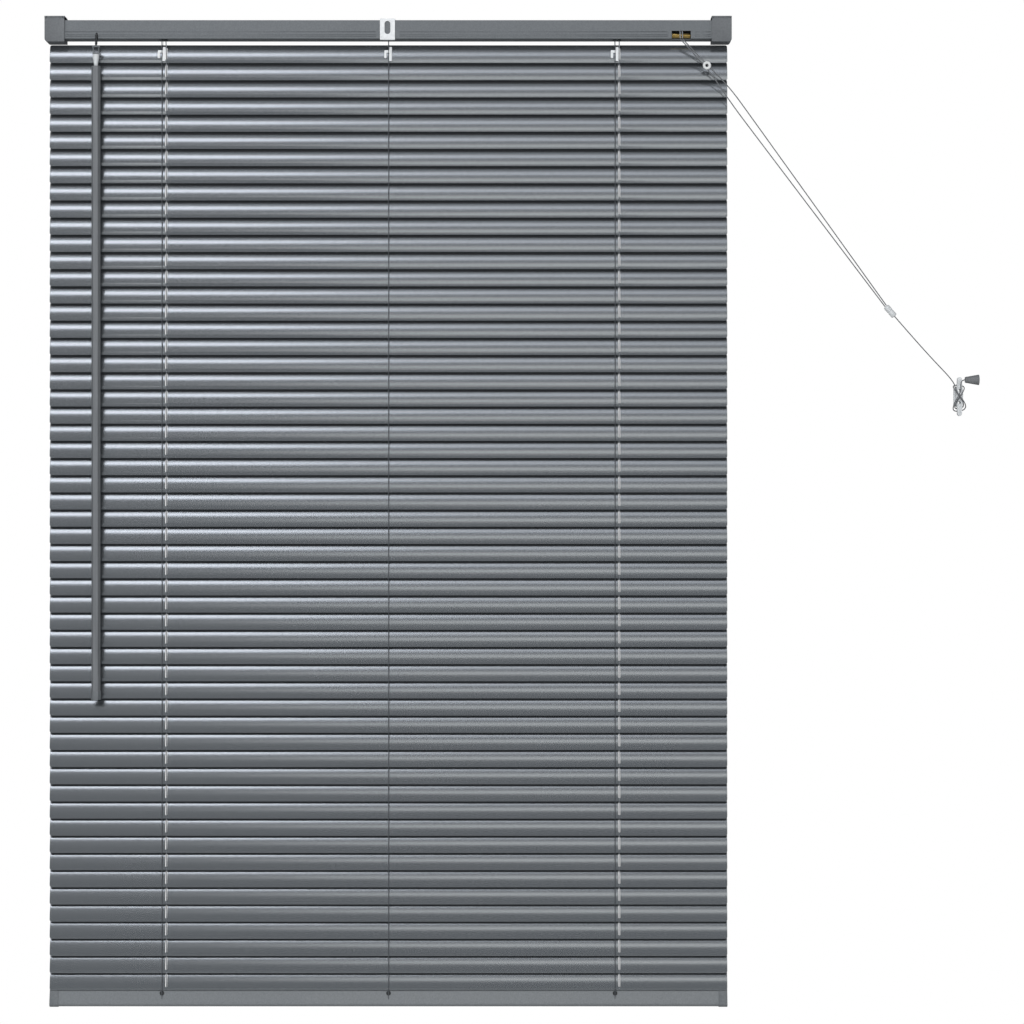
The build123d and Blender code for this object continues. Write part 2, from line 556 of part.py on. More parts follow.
# ---- clear clips on the top slat, one at each ladder ----
with BuildPart() as ladder_clips:
    for x in LADDERS:
        origin = Vector(x, RAIL_Y, slat_z(1)) - FACE_WAY * (SLAT_CROWN / 2 + 1.5)
        with BuildSketch(Plane(origin=origin, x_dir=(1, 0, 0), z_dir=-FACE_WAY)):
            with Locations((2.7, -1.0)):
                RectangleRounded(3.6, 20.0, 1.0)
            with Locations((-1.0, 2.6)):
                RectangleRounded(9.0, 3.6, 1.0)
            with Locations((-4.0, -1.4)):
                RectangleRounded(3.0, 11.0, 1.0)
        extrude(amount=1.0)
save(ladder_clips, "ladder_clips")

# ---- bottom rail: flat steel tube with end caps, ladder plugs and the lift cords' knots ----
bottom_tube = SLAT_LENGTH - 2 * 1.5
with BuildPart() as bottom_rail:
    with BuildSketch(closed_plane(-bottom_tube / 2, BOTTOM_Z)):
        RectangleRounded(BOTTOM_WIDTH, BOTTOM_THICKNESS, BOTTOM_CORNER)
        RectangleRounded(
            BOTTOM_WIDTH - 2 * BOTTOM_WALL,
            BOTTOM_THICKNESS - 2 * BOTTOM_WALL,
            BOTTOM_CORNER - BOTTOM_WALL,
            mode=Mode.SUBTRACT,
        )
    extrude(amount=bottom_tube)
    with Locations([(x, RAIL_Y, BOTTOM_Z + BOTTOM_WIDTH / 2) for x in LIFT_CORDS]):
        Cylinder(LIFT_CORD_DIAMETER / 2 + 0.3, BOTTOM_WIDTH / 2, mode=Mode.SUBTRACT)
save(bottom_rail, "bottom_rail")

with BuildPart() as bottom_rail_caps:
    for side in (-1, 1):
        with BuildSketch(closed_plane(side * SLAT_LENGTH / 2, BOTTOM_Z)):
            grown = 2 * (BOTTOM_CAP_WALL + FIT_GAP)
            RectangleRounded(BOTTOM_WIDTH + grown, BOTTOM_THICKNESS + grown, BOTTOM_CORNER + grown / 2)
        extrude(amount=-side * BOTTOM_CAP_LENGTH)
        with BuildSketch(closed_plane(side * (bottom_tube / 2 + FIT_GAP), BOTTOM_Z)):
            loose = 2 * FIT_GAP
            RectangleRounded(BOTTOM_WIDTH + loose, BOTTOM_THICKNESS + loose, BOTTOM_CORNER + FIT_GAP)
        extrude(amount=-side * 2 * BOTTOM_CAP_LENGTH, mode=Mode.SUBTRACT)
save(bottom_rail_caps, "bottom_rail_caps")

with BuildPart() as ladder_plugs:
    for x in LADDERS:
        seat = Vector(x, RAIL_Y, BOTTOM_Z) - FRONT_WAY * PLUG_OFFSET
        seat -= FACE_WAY * (BOTTOM_THICKNESS / 2 + PLUG_SEAT)
        with BuildSketch(Plane(origin=seat, z_dir=-FACE_WAY)):
            Circle(PLUG_RADIUS)
        extrude(amount=PLUG_HEIGHT)
save(ladder_plugs, "ladder_plugs")

with BuildPart() as cord_knots:
    with Locations([(x, RAIL_Y, BOTTOM_Z) for x in LIFT_CORDS]):
        Sphere(KNOT_RADIUS)
save(cord_knots, "cord_knots")


def cord(path_points, radii, diameter):
    """Round cord along straight runs joined by tangent arcs; prints its length and radii."""
    with BuildPart() as piece:
        with BuildLine() as path:
            FilletPolyline(*path_points, radius=radii)
        wire = path.wire()
        with BuildSketch(Plane(origin=wire @ 0, z_dir=wire % 0)):
            Circle(diameter / 2)
        sweep(path=wire)
    ideal = math.pi * diameter**2 / 4 * wire.length
    print(f"cord length {wire.length:.1f}, volume ratio {piece.part.volume / ideal:.4f}")
    print(f"  radii {[round(radius, 1) for radius in radii]}")
    return piece


def arc_radii(points, share=0.45):
    """Radius at each corner: the given share of its shorter run over the tangent of half the turn."""
    vectors = [Vector(*p) for p in points]
    radii = []
    for before, corner, after in zip(vectors, vectors[1:], vectors[2:]):
        way_in, way_out = corner - before, after - corner
        turn = math.radians(way_in.get_angle(way_out))
        radii.append(share * min(way_in.length, way_out.length) / math.tan(turn / 2))
    return radii


# ---- lift cords: from the knots up through the slats, along the rail and out of the lock ----
run_z = ROD_Z + DRUM_RADIUS + 0.4
for x, side_y, hand, exit_x in (
    (LIFT_CORDS[0], RAIL_Y - LIFT_CORD_SHIFT, "left", LOCK_X - 1.5),
    (LIFT_CORDS[1], RAIL_Y - LIFT_CORD_SHIFT, "right", LOCK_X + 1.5),
):
    run_y = side_y if hand == "left" else side_y - 2.0
    route = [
        (x, RAIL_Y, BOTTOM_Z + KNOT_RADIUS + 0.1),
        (x, RAIL_Y, RAIL_BOTTOM - 14.0),
        (x, side_y, RAIL_BOTTOM - 3.0),
        (x, side_y, run_z - 3.0),
        (x + 8.0, run_y, run_z),
        (exit_x - 5.0, run_y, run_z),
        (exit_x, RAIL_FRONT + 2.6, -1.0),
        (exit_x, RAIL_FRONT - 0.6, -8.0),
        (exit_x, CORD_Y, RAIL_BOTTOM + 0.4),
    ]
    save(cord(route, arc_radii(route), LIFT_CORD_DIAMETER), f"lift_cord_{hand}")

# ---- wand: wire hook through the stem's eye, clear sleeve, hexagonal rod, end tip ----
sleeve_top = WAND_TOP + SLEEVE_LENGTH
with BuildPart() as wand_hook:
    with Locations((TILTER_X, WAND_Y, EYE_Z)):
        Cylinder(BALL_RADIUS + 1.2, 2 * RING_HALF_HEIGHT)
        Box(LUG_WIDTH, LUG_DEPTH, 2 * RING_HALF_HEIGHT)
        Cylinder(BALL_RADIUS + JOURNAL_GAP, 4 * RING_HALF_HEIGHT, mode=Mode.SUBTRACT)
    for side in (-1, 1):
        with Locations((TILTER_X + side * HOOK_HALF_WIDTH, WAND_Y, (EYE_Z + sleeve_top + HOOK_BAR) / 2)):
            Cylinder(HOOK_WIRE, EYE_Z - sleeve_top - HOOK_BAR)
    with Locations((TILTER_X, WAND_Y, sleeve_top + HOOK_BAR / 2 + FIT_GAP)):
        Box(2 * (HOOK_HALF_WIDTH + HOOK_WIRE), HOOK_BAR, HOOK_BAR)
    with Locations((TILTER_X, WAND_Y, (sleeve_top + HOOK_BAR / 2 + WAND_TOP) / 2)):
        Cylinder(SHANK_RADIUS, sleeve_top + HOOK_BAR / 2 - WAND_TOP)
save(wand_hook, "wand_hook")

with BuildPart() as wand_sleeve:
    with Locations((TILTER_X, WAND_Y, WAND_TOP + SLEEVE_LENGTH / 2)):
        Cone(SLEEVE_END_RADIUS, SLEEVE_TOP_RADIUS, SLEEVE_LENGTH - 2 * FIT_GAP)
        Cylinder(SHANK_RADIUS + JOURNAL_GAP, 2 * SLEEVE_LENGTH, mode=Mode.SUBTRACT)
save(wand_sleeve, "wand_sleeve")

wand_end = WAND_TOP - WAND_LENGTH
with BuildPart() as wand:
    with BuildSketch(Plane(origin=(TILTER_X, WAND_Y, wand_end + TIP_WALL), z_dir=(0, 0, 1))):
        RegularPolygon(WAND_ACROSS / 2, 6, major_radius=False)
    extrude(amount=WAND_LENGTH - TIP_WALL - FIT_GAP)
    chamfer(edges().group_by(Axis.Z)[-1], 1.2)
save(wand, "wand")

with BuildPart() as wand_tip:
    with BuildSketch(Plane(origin=(TILTER_X, WAND_Y, wand_end - TIP_GAP), z_dir=(0, 0, 1))):
        RegularPolygon(WAND_ACROSS / 2 + TIP_WALL + TIP_GAP, 6, major_radius=False)
    extrude(amount=TIP_LENGTH)
    chamfer(edges().group_by(Axis.Z)[0], 0.4)
    with BuildSketch(Plane(origin=(TILTER_X, WAND_Y, wand_end + TIP_WALL - TIP_GAP), z_dir=(0, 0, 1))):
        RegularPolygon(WAND_ACROSS / 2 + TIP_GAP, 6, major_radius=False)
    extrude(amount=TIP_LENGTH, mode=Mode.SUBTRACT)
save(wand_tip, "wand_tip")

# ---- wall cleat: base, post and a bar whose tips are the horns, drilled for two screws ----
with BuildPart() as cleat:
    bar_middle = -CLEAT_STAND - CLEAT_BAR / 2
    with Locations((CLEAT_X, -CLEAT_BASE / 2, CLEAT_Z)):
        Box(2 * CLEAT_HALF_WIDTH + 3.0, CLEAT_BASE, CLEAT_POST)
    fillet(edges().filter_by(Axis.Y), 3.0)
    with Locations((CLEAT_X, -CLEAT_STAND / 2 - 1.0, CLEAT_Z)):
        Box(2 * CLEAT_HALF_WIDTH - 1.0, CLEAT_STAND, CLEAT_POST - 4.0)
    with BuildSketch(Plane(origin=(CLEAT_X, -CLEAT_STAND, CLEAT_Z), x_dir=(1, 0, 0), z_dir=(0, -1, 0))):
        with BuildLine():
            half_length = CLEAT_LENGTH / 2
            Spline((-CLEAT_HALF_WIDTH, 0), (-CLEAT_TIP, half_length - CLEAT_TIP), tangents=((0, 1), (0, 1)))
            ThreePointArc((-CLEAT_TIP, half_length - CLEAT_TIP), (0, half_length), (CLEAT_TIP, half_length - CLEAT_TIP))
            Spline((CLEAT_TIP, half_length - CLEAT_TIP), (CLEAT_HALF_WIDTH, 0), tangents=((0, -1), (0, -1)))
            mirror(about=Plane.XZ)
        make_face()
    extrude(amount=CLEAT_BAR)
    with Locations([
        Location((CLEAT_X, bar_middle, CLEAT_Z + way * CLEAT_HOLE_SPACING / 2), (90, 0, 0)) for way in (-1, 1)
    ]):
        Cylinder(CLEAT_HOLE / 2, 4 * CLEAT_STAND, mode=Mode.SUBTRACT)
save(cleat, "cleat")

# ---- pull cords: two strands from the lock through the stop ring to the joiner, one to the cleat ----
ring_x, ring_z = 417.4, -48.7
joiner_start = Vector(653.0, -19.0, -363.0)
joiner_end = Vector(664.6, -18.6, -376.4)
joiner_way = (joiner_end - joiner_start).normalized()
joiner_side = joiner_way.cross(Vector(0, 1, 0)).normalized() * 1.15
upper_route = [
    (LOCK_X + 1.5, CORD_Y, RAIL_BOTTOM - 0.5),
    (ring_x + 0.75, CORD_Y, ring_z + 0.75),
    (447.0, CORD_Y, -77.0),
    tuple(joiner_start + joiner_side - joiner_way * 0.35),
]
lower_route = [
    (LOCK_X - 1.5, CORD_Y, RAIL_BOTTOM - 0.5),
    (ring_x - 0.75, CORD_Y, ring_z - 0.75),
    (448.6, CORD_Y, -97.0),
    tuple(joiner_start - joiner_side - joiner_way * 0.35),
]
save(cord(upper_route, arc_radii(upper_route), PULL_CORD_DIAMETER), "pull_cord_upper")
save(cord(lower_route, arc_radii(lower_route), PULL_CORD_DIAMETER), "pull_cord_lower")

with BuildPart() as cord_stop_ring:
    with BuildSketch(Plane(origin=(ring_x, CORD_Y - PULL_CORD_DIAMETER / 2 - 0.3, ring_z), z_dir=(0, -1, 0))):
        Circle(RING_RADIUS)
        Circle(RING_BORE, mode=Mode.SUBTRACT)
    extrude(amount=RING_THICKNESS)
    fillet(edges().filter_by(GeomType.CIRCLE).group_by(Axis.Y)[0], 0.7)
save(cord_stop_ring, "cord_stop_ring")

with BuildPart() as cord_joiner:
    with BuildSketch(Plane(origin=joiner_start, z_dir=joiner_way)):
        Circle(JOINER_RADIUS)
    extrude(amount=(joiner_end - joiner_start).length)
    fillet(edges().filter_by(GeomType.CIRCLE), 1.6)
save(cord_joiner, "cord_joiner")

# the figure-eight: each lap crosses in front of the bar and passes behind a horn at the top and bottom
horn_y = -(CLEAT_BASE + CLEAT_STAND) / 2
front_y = -CLEAT_STAND - CLEAT_BAR - 1.4
tail_route = [
    tuple(joiner_end + joiner_way * 0.1),
    (688.0, -18.0, -407.0),
    (715.0, -17.0, -437.5),
    (CLEAT_X - 7.4, -15.5, CLEAT_Z + 19.5),
    (CLEAT_X - 5.4, front_y + 0.2, CLEAT_Z + 8.0),
    (CLEAT_X + 5.4, front_y + 0.2, CLEAT_Z - 8.0),
    (CLEAT_X + 5.8, horn_y, CLEAT_Z - 14.8),
    (CLEAT_X - 5.8, horn_y, CLEAT_Z - 16.4),
    (CLEAT_X - 6.0, front_y - 1.6, CLEAT_Z - 8.6),
    (CLEAT_X + 6.0, front_y - 1.6, CLEAT_Z + 8.6),
    (CLEAT_X + 6.6, horn_y, CLEAT_Z + 14.8),
    (CLEAT_X - 7.6, horn_y + 1.4, CLEAT_Z + 15.8),
    (CLEAT_X - 8.2, front_y - 3.2, CLEAT_Z + 8.6),
    (CLEAT_X + 7.8, front_y - 3.4, CLEAT_Z - 9.2),
    (CLEAT_X + 8.2, horn_y, CLEAT_Z - 18.0),
    (CLEAT_X - 8.2, horn_y, CLEAT_Z - 19.8),
    (CLEAT_X - 8.4, front_y - 4.6, CLEAT_Z - 9.0),
    (CLEAT_X + 1.0, front_y - 5.2, CLEAT_Z + 6.0),
    (CLEAT_X + 0.2, front_y - 3.0, CLEAT_Z + 21.2),
    (CLEAT_X + 6.2, front_y - 2.4, CLEAT_Z + 21.7),
]
save(cord(tail_route, arc_radii(tail_route), PULL_CORD_DIAMETER), "pull_cord_tail")

with BuildPart() as tassel:
    start = Vector(*tail_route[-1]) + Vector(0.1, 0, 0)
    with BuildSketch(Plane(origin=start, x_dir=(0, 1, 0), z_dir=(1, 0, 0))):
        Circle(TASSEL_SMALL)
    with BuildSketch(Plane(origin=start + Vector(TASSEL_LENGTH, 0, 0), x_dir=(0, 1, 0), z_dir=(1, 0, 0))):
        Circle(TASSEL_LARGE)
    loft()
    fillet(edges().filter_by(GeomType.CIRCLE), 0.8)
save(tassel, "tassel")
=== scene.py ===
"""Venetian blind in grey aluminium, 90 x 130 cm, lowered and closed, with its wand, lock, cords and cleat.

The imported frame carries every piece; this script gives each one its finish and makes the slats, ladders
and cords. Metres, in the frame's own axes: +X right, -Y towards the room, +Z up, the wall at Y = 0.
"""
import json
import math

import bmesh
import bpy
import numpy as np
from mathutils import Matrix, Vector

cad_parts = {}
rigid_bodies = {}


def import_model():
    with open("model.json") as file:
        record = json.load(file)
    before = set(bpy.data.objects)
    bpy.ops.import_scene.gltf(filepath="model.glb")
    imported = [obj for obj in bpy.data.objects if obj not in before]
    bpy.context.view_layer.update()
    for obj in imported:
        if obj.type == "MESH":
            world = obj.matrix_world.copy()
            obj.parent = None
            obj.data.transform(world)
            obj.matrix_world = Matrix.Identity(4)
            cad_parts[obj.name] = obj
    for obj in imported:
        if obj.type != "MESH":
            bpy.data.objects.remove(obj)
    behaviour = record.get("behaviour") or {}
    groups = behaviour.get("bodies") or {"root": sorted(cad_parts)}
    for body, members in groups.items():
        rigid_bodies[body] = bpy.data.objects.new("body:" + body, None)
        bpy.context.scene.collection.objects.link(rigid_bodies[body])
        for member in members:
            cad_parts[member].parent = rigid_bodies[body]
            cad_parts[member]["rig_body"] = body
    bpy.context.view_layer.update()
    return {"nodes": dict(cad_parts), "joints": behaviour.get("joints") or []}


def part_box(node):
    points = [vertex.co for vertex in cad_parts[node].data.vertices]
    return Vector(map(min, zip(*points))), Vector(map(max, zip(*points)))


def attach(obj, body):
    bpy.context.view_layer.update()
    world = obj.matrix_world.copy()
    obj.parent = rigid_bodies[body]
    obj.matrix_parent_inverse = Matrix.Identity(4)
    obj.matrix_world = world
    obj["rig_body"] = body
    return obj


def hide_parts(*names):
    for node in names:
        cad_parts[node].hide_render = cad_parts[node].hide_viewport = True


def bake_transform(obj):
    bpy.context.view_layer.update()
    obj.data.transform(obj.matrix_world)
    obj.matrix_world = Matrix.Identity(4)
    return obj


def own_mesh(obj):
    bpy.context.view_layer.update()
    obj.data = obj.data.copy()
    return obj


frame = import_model()
MM = 0.001

# ---- studio: a white room with soft boxes high on the left and centre, and a lower one to the right ----
# The closed slats face the room and a little upwards, so each one mirrors whatever stands above head
# height in front of it: the high boxes are the bright line along a slat, the low one the paler band. A
# fourth box, which no surface mirrors, lifts the painted and plastic parts.
EYE = (0.1622, -4.015, -0.6332)
EYE_LENS = 107.0
FLOOR_Z = -1.45
ROOM_GLOW = 0.42
WALL_SIDE_GLOW = 0.14
BLIND_MIDDLE = (0, 0, -0.6)


def linear(hex_colour):
    """An sRGB hex colour as linear red, green, blue and alpha."""
    shares = np.array([int(hex_colour[i : i + 2], 16) / 255 for i in (1, 3, 5)])
    bent = np.where(shares <= 0.04045, shares / 12.92, ((shares + 0.055) / 1.055) ** 2.4)
    return (*bent.tolist(), 1.0)


def node(tree, kind, settings=None, **links):
    """Adds a shader node. settings go to its properties or, where it has none so named, to its inputs;
    links join its inputs, named with underscores for spaces, to other nodes' output sockets."""
    made = tree.nodes.new(kind)
    for key, value in (settings or {}).items():
        if hasattr(made, key):
            setattr(made, key, value)
        else:
            made.inputs[key].default_value = value
    for key, socket in links.items():
        tree.links.new(socket, made.inputs[key.replace("_", " ")])
    return made


camera = bpy.data.objects.new("camera", bpy.data.cameras.new("camera"))
bpy.context.scene.collection.objects.link(camera)
camera.location = EYE
camera.rotation_euler = (math.pi / 2, 0, 0)
camera.data.lens = EYE_LENS
camera.data.sensor_width = 36.0
camera.data.clip_start = 0.05
bpy.context.scene.camera = camera
bpy.context.scene.view_settings.view_transform = "Standard"

world = bpy.data.worlds.new("white_room")
world.use_nodes = True
bpy.context.scene.world = world
world.node_tree.nodes.clear()
rays = node(world.node_tree, "ShaderNodeLightPath")
wall_glow = node(world.node_tree, "ShaderNodeBackground", {"Color": linear("#FFFFFF"), "Strength": 1.0})
way = node(world.node_tree, "ShaderNodeTexCoord")
way_parts = node(world.node_tree, "ShaderNodeSeparateXYZ", Vector=way.outputs["Generated"])
room_dims = node(
    world.node_tree, "ShaderNodeMapRange",
    {"From Min": -0.6, "From Max": 0.5, "To Min": ROOM_GLOW, "To Max": WALL_SIDE_GLOW},
    Value=way_parts.outputs["Y"],
)
dim_glow = node(
    world.node_tree, "ShaderNodeBackground", {"Color": linear("#E2E6EA")}, Strength=room_dims.outputs[0]
)
both = node(world.node_tree, "ShaderNodeMixShader", Fac=rays.outputs["Is Camera Ray"])
world.node_tree.links.new(dim_glow.outputs[0], both.inputs[1])
world.node_tree.links.new(wall_glow.outputs[0], both.inputs[2])
node(world.node_tree, "ShaderNodeOutputWorld", Surface=both.outputs[0])


def soft_box(name, place, aim, size, watts, tint="#FFFFFF"):
    """A rectangular light at place that faces aim."""
    lamp = bpy.data.lights.new(name, "AREA")
    lamp.shape = "RECTANGLE"
    lamp.size, lamp.size_y = size
    lamp.energy = watts
    lamp.color = linear(tint)[:3]
    holder = bpy.data.objects.new(name, lamp)
    bpy.context.scene.collection.objects.link(holder)
    holder.location = place
    gaze = np.array(aim) - np.array(place)
    across = math.hypot(gaze[0], gaze[1])
    holder.rotation_euler = (math.atan2(across, -gaze[2]), 0, math.atan2(-gaze[0], gaze[1]))
    return holder


soft_box("high_left", (-2.4, -6.0, 4.4), (-0.3, 0, -0.6), (3.8, 1.3), 60, "#F8F9FF")
soft_box("high_centre", (0.4, -6.0, 4.4), BLIND_MIDDLE, (1.8, 1.3), 9, "#F8F9FF")
soft_box("low_right", (1.6, -6.5, 1.9), (0.2, 0, -0.6), (4.6, 1.2), 20, "#FFFDF8")
matt_fill = soft_box("matt_fill", (-0.8, -4.5, 0.9), BLIND_MIDDLE, (3.0, 3.0), 130)
matt_fill.visible_glossy = False

floor_mesh = bpy.data.meshes.new("floor")
floor_corners = [(-1.8, -1.6, FLOOR_Z), (2.1, -1.6, FLOOR_Z), (2.1, 0.25, FLOOR_Z), (-1.8, 0.25, FLOOR_Z)]
floor_mesh.from_pydata(floor_corners, [], [(0, 1, 2, 3)])
floor = bpy.data.objects.new("floor", floor_mesh)
bpy.context.scene.collection.objects.link(floor)
floor_paint = bpy.data.materials.new("pale_floor")
floor_paint.use_nodes = True
floor_paint.node_tree.nodes["Principled BSDF"].inputs["Base Color"].default_value = linear("#E9E9E7")
floor_paint.node_tree.nodes["Principled BSDF"].inputs["Roughness"].default_value = 0.8
floor_mesh.materials.append(floor_paint)


# ---- slats: 55 strips of 25 mm aluminium, roll-formed to a low crown and stove-enamelled silver grey ----
# Each strip has rounded corners and two punched slots where the lift cords pass. The coil coating is a
# fine metallic enamel: even and satin, so the slat mirrors the room in soft bands along its length.
SLAT_HALF_WIDTH = 12.5 * MM
SLAT_CROWN = 1.6 * MM
SLAT_THICKNESS = 0.45 * MM
SLAT_HALF_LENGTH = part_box("slat_03")[1].x
SLAT_CORNER = 2.6 * MM
SLAT_COUNT = 55
PACK_SIZE = 5
LADDER_REACH = 297.5 * MM
LADDERS = (-LADDER_REACH, 0.0, LADDER_REACH)
knots_middle = (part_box("cord_knots")[0].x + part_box("cord_knots")[1].x) / 2
SLAT_SLOTS = (knots_middle - LADDER_REACH, knots_middle + LADDER_REACH)
SLOT_HALF = (1.2 * MM, 8.5 * MM)
PIVOTS = {joint["name"]: joint.get("pos_m") for joint in frame["joints"]}
SLAT_PITCH = (PIVOTS["slat_03_tilt"][2] - PIVOTS["slat_53_tilt"][2]) / 50
AXIS_Y = PIVOTS["slat_03_tilt"][1]
TOP_SLAT_Z = PIVOTS["slat_03_tilt"][2] + 2 * SLAT_PITCH
CLOSED = math.radians(75)
FRONT_WAY = np.array([0, -math.cos(CLOSED), -math.sin(CLOSED)])
HOLLOW_WAY = np.array([0, math.sin(CLOSED), -math.cos(CLOSED)])
RUNG_RADIUS = 0.22 * MM
RUNG_CLEAR = 0.28 * MM
RUNG_REACH = 12.9 * MM
RUNG_SHIFT = 0.9 * MM


def solid_material(name, hex_colour, roughness, metallic=0.0, **sockets):
    """A new material whose Principled shader has these constants; returns it, its tree and its shader."""
    made = bpy.data.materials.new(name)
    made.use_nodes = True
    shader = made.node_tree.nodes["Principled BSDF"]
    shader.inputs["Base Color"].default_value = linear(hex_colour)
    shader.inputs["Roughness"].default_value = roughness
    shader.inputs["Metallic"].default_value = metallic
    for key, value in sockets.items():
        shader.inputs[key.replace("_", " ")].default_value = value
    return made, made.node_tree, shader


def mottle(tree, shader, dark, light, size_mm, stretch=(1, 1, 1)):
    """Colours the shader by soft noise between two hex colours, in clouds size_mm across."""
    place = node(tree, "ShaderNodeTexCoord")
    turned = node(tree, "ShaderNodeMapping", {"Scale": stretch}, Vector=place.outputs["Object"])
    settings = {"Scale": 1 / (size_mm * MM), "Detail": 3.0}
    noise = node(tree, "ShaderNodeTexNoise", settings, Vector=turned.outputs[0])
    ramp = node(tree, "ShaderNodeValToRGB", Fac=noise.outputs["Fac"])
    ramp.color_ramp.elements[0].color = linear(dark)
    ramp.color_ramp.elements[0].position = 0.3
    ramp.color_ramp.elements[1].color = linear(light)
    ramp.color_ramp.elements[1].position = 0.7
    tree.links.new(ramp.outputs[0], shader.inputs["Base Color"])


def grain(tree, shader, size_mm, height_mm, stretch=(1, 1, 1), kind="ShaderNodeTexNoise"):
    """Raises the surface by a pattern of grains size_mm across and height_mm deep."""
    place = node(tree, "ShaderNodeTexCoord")
    turned = node(tree, "ShaderNodeMapping", {"Scale": stretch}, Vector=place.outputs["Object"])
    noise = node(tree, kind, {"Scale": 1 / (size_mm * MM)}, Vector=turned.outputs[0])
    bump = node(
        tree, "ShaderNodeBump", {"Distance": height_mm * MM, "Strength": 1.0}, Height=noise.outputs[0]
    )
    tree.links.new(bump.outputs[0], shader.inputs["Normal"])


def uneven_gloss(tree, shader, low, high, size_mm):
    """Lets the roughness drift between low and high in patches size_mm across."""
    place = node(tree, "ShaderNodeTexCoord")
    settings = {"Scale": 1 / (size_mm * MM), "Detail": 4.0}
    noise = node(tree, "ShaderNodeTexNoise", settings, Vector=place.outputs["Object"])
    spread = node(
        tree, "ShaderNodeMapRange", {"From Min": 0.3, "From Max": 0.7, "To Min": low, "To Max": high},
        Value=noise.outputs["Fac"],
    )
    tree.links.new(spread.outputs[0], shader.inputs["Roughness"])


def sheet_mesh(points, keep=None, around=False):
    """Vertices and quads of a surface given as an array (rows, columns, 3). keep leaves cells out where it
    is False, and around joins the last row back to the first."""
    rows, columns = points.shape[:2]
    index = np.arange(rows * columns).reshape(rows, columns)
    if around:
        index = np.vstack([index, index[:1]])
    quads = np.stack([index[:-1, :-1], index[:-1, 1:], index[1:, 1:], index[1:, :-1]], axis=-1)
    if keep is not None:
        quads = quads[keep]
    return points.reshape(-1, 3), quads.reshape(-1, 4)


def tube_mesh(centres, radius, sides=10):
    """A closed round tube along an array of centre points: a circle square to the path at each point, and
    a flat cap at both ends. radius is one number or one for each point."""
    centres = np.asarray(centres, float)
    radii = np.broadcast_to(np.asarray(radius, float), len(centres))
    along = np.gradient(centres, axis=0)
    along /= np.linalg.norm(along, axis=1)[:, None]
    helper = np.array([1.0, 0, 0]) if abs(along[0, 0]) < 0.7 else np.array([0, 1.0, 0])
    first = np.cross(along, helper)
    first /= np.linalg.norm(first, axis=1)[:, None]
    second = np.cross(along, first)
    angles = np.linspace(0, 2 * math.pi, sides, endpoint=False)
    ring = np.cos(angles)[:, None, None] * first + np.sin(angles)[:, None, None] * second
    points, faces = sheet_mesh(centres + ring * radii[:, None], around=True)
    count = len(centres)
    ends = [[s * count for s in range(sides)], [s * count + count - 1 for s in reversed(range(sides))]]
    return points, faces.tolist() + ends


def merged(parts):
    """One list of vertices, faces and material numbers from several (vertices, faces, material) parts."""
    vertices, faces, numbers, start = [], [], [], 0
    for points, quads, number in parts:
        vertices.append(np.asarray(points, float))
        faces += [[int(corner) + start for corner in face] for face in quads]
        numbers += [number] * len(quads)
        start += len(points)
    return np.vstack(vertices), faces, numbers


def new_piece(name, parts, materials, body, smooth=True, outwards=True):
    """A mesh piece from merged() parts. It rides on body."""
    vertices, faces, numbers = merged(parts)
    mesh = bpy.data.meshes.new(name)
    mesh.from_pydata(vertices.tolist(), [], faces)
    for material in materials:
        mesh.materials.append(material)
    mesh.polygons.foreach_set("material_index", numbers)
    mesh.polygons.foreach_set("use_smooth", [smooth] * len(faces))
    piece = bpy.data.objects.new(name, mesh)
    bpy.context.scene.collection.objects.link(piece)
    if outwards:
        work = bmesh.new()
        work.from_mesh(mesh)
        bmesh.ops.recalc_face_normals(work, faces=work.faces)
        work.to_mesh(mesh)
        work.free()
    if body:
        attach(piece, body)
    return piece


# Metallic stove enamel: satin and even, its flake and its drift in gloss only just seen.
enamel, enamel_tree, enamel_shader = solid_material(
    "stove_enamelled_aluminium", "#8F9397", 0.27, 0.9, Coat_Weight=0.1, Coat_Roughness=0.2
)
mottle(enamel_tree, enamel_shader, "#8E9296", "#919599", 2.86)
uneven_gloss(enamel_tree, enamel_shader, 0.2, 0.205, 50.0)
# Braided polyester string: dark and matt, each strand a shade from the next.
braid, braid_tree, braid_shader = solid_material("braided_polyester", "#4A4E54", 0.72, 0.0, Sheen_Weight=0.3)
mottle(braid_tree, braid_shader, "#3B3F44", "#585D63", 0.385)
grain(braid_tree, braid_shader, 0.455, 0.12, (1, 1, 0.45), "ShaderNodeTexVoronoi")


